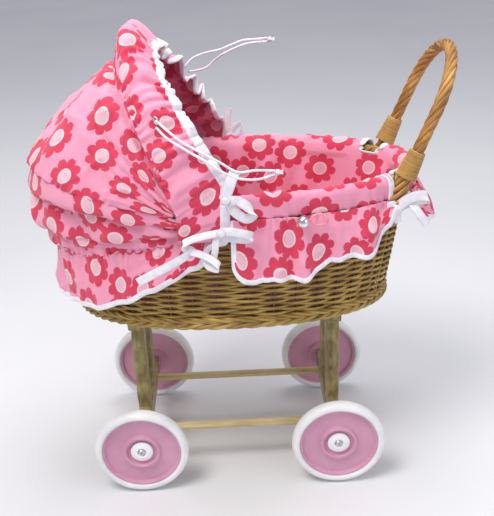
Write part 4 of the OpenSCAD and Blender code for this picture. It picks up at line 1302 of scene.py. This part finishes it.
TOP_BOW = [([(10, -131, 439), (6, -137, 433), (1, -139, 420), (-4, -138, 408)], (1, 0, -0.5), 0.0125),
           ([(0, -137, 405), (10, -142, 408), (22, -143, 400), (28, -139, 391), (20, -137, 384),
             (8, -137, 392), (1, -136, 402)],
            (-0.45, 0.1, 1), 0.0110)]
LOW_BOW = [([(-10, -136, 369), (4, -142, 371), (18, -143, 368), (25, -139, 363), (18, -136, 359),
             (4, -136, 361), (-9, -135, 364)],
            (0.1, 0, 1), 0.0105),
           ([(-8, -137, 369), (-26, -139, 367), (-42, -139, 363), (-52, -138, 357), (-48, -137, 349),
             (-34, -138, 344),
             (-22, -140, 338), (-14, -142, 331), (-16, -139, 325), (-25, -137, 328), (-28, -136, 334)],
            (0.2, 0.35, 1), 0.0085),
           ([(-43, -135, 352), (-50, -138, 343), (-66, -140, 334), (-87, -139, 323), (-107, -137, 312)],
            (0.5, 0, 1), 0.0105),
           ([(-12, -135, 366), (-16, -137, 358), (-17, -137, 348), (-19, -136, 338)], (1, 0, 0.2), 0.0080)]
END_BOW = [([(198, -82, 368), (206, -88, 378), (218, -90, 384), (230, -88, 383), (231, -82, 377),
             (219, -80, 374), (206, -80, 371),
             (198, -80, 366)], (-0.35, 0.1, 1), 0.0125),
           ([(212, -86, 376), (218, -90, 368), (225, -92, 358), (231, -92, 348)], (1, 0.4, 0.3), 0.0100),
           ([(198, -83, 366), (197, -86, 358), (198, -86, 350)], (1, 0.5, 0), 0.0095),
           ([(197, -83, 368), (192, -86, 374), (184, -90, 374)], (0, 0.1, 1), 0.0070)]
FAR_TOP = [([(3, -119, 404), (1, -119, 416), (2, -120, 430), (5, -121, 442)], (1, 0, 0.1), 0.0080),
           ([(4, -119, 403), (10, -121, 392), (17, -122, 378), (23, -121, 366)], (1, 0, 0.4), 0.0085),
           ([(5, -119, 405), (12, -122, 416), (19, -123, 418), (21, -121, 408), (14, -119, 401),
             (6, -118, 403)], (-0.3, 0.2, 1),
            0.0080),
           ([(9, -119, 399), (18, -122, 393), (26, -122, 385), (28, -120, 377)], (0.6, 0.2, 1), 0.0075)]
for (side, side_name), top, top_knot in zip(SIDES, (TOP_BOW, FAR_TOP), ((-2, -138, 406), (4, -119, 404))):
    for kind, ribbons, knot, across in (("top", top, top_knot, (1, 0, 0)),
                                        ("low", LOW_BOW, (-9, -138, 368), (1, 0, 0)),
                                        ("end", END_BOW, (198, -83, 367), (0.77, 0.64, 0))):
        bow(f"bow_{kind}_ribbon_{side_name}", f"bow_{kind}_{side_name}", ribbons, knot, across, far=side == 1)

# %% [markdown]
# The ball buttons are polished steel beads on short shanks, stitched at the gathering line. Beside each
# stands a loop of pink cloth cord.

# %% Buttons and loops
paint("side_buttons", BALL)
loops = []
ring = np.linspace(0, 2 * math.pi, 60, endpoint=False)
for side in (-1, 1):
    centre = np.array([MID + 0.101, side * 0.1275, 0.375])
    egg = centre + np.stack([0.0095 * np.cos(ring), side * 0.0012 * np.cos(2 * ring), 0.0068 * np.sin(ring)],
                            axis=-1)
    loops.append(tube(f"loop{side}", egg, (0, 1, 0), 0.0013, sides=10, ring=True))
finish_piece(join("cloth_button_loops", loops), LOOP_PINK, "chassis", "print_cloth", "button_loops")
print("ribbons, buttons and loops done")
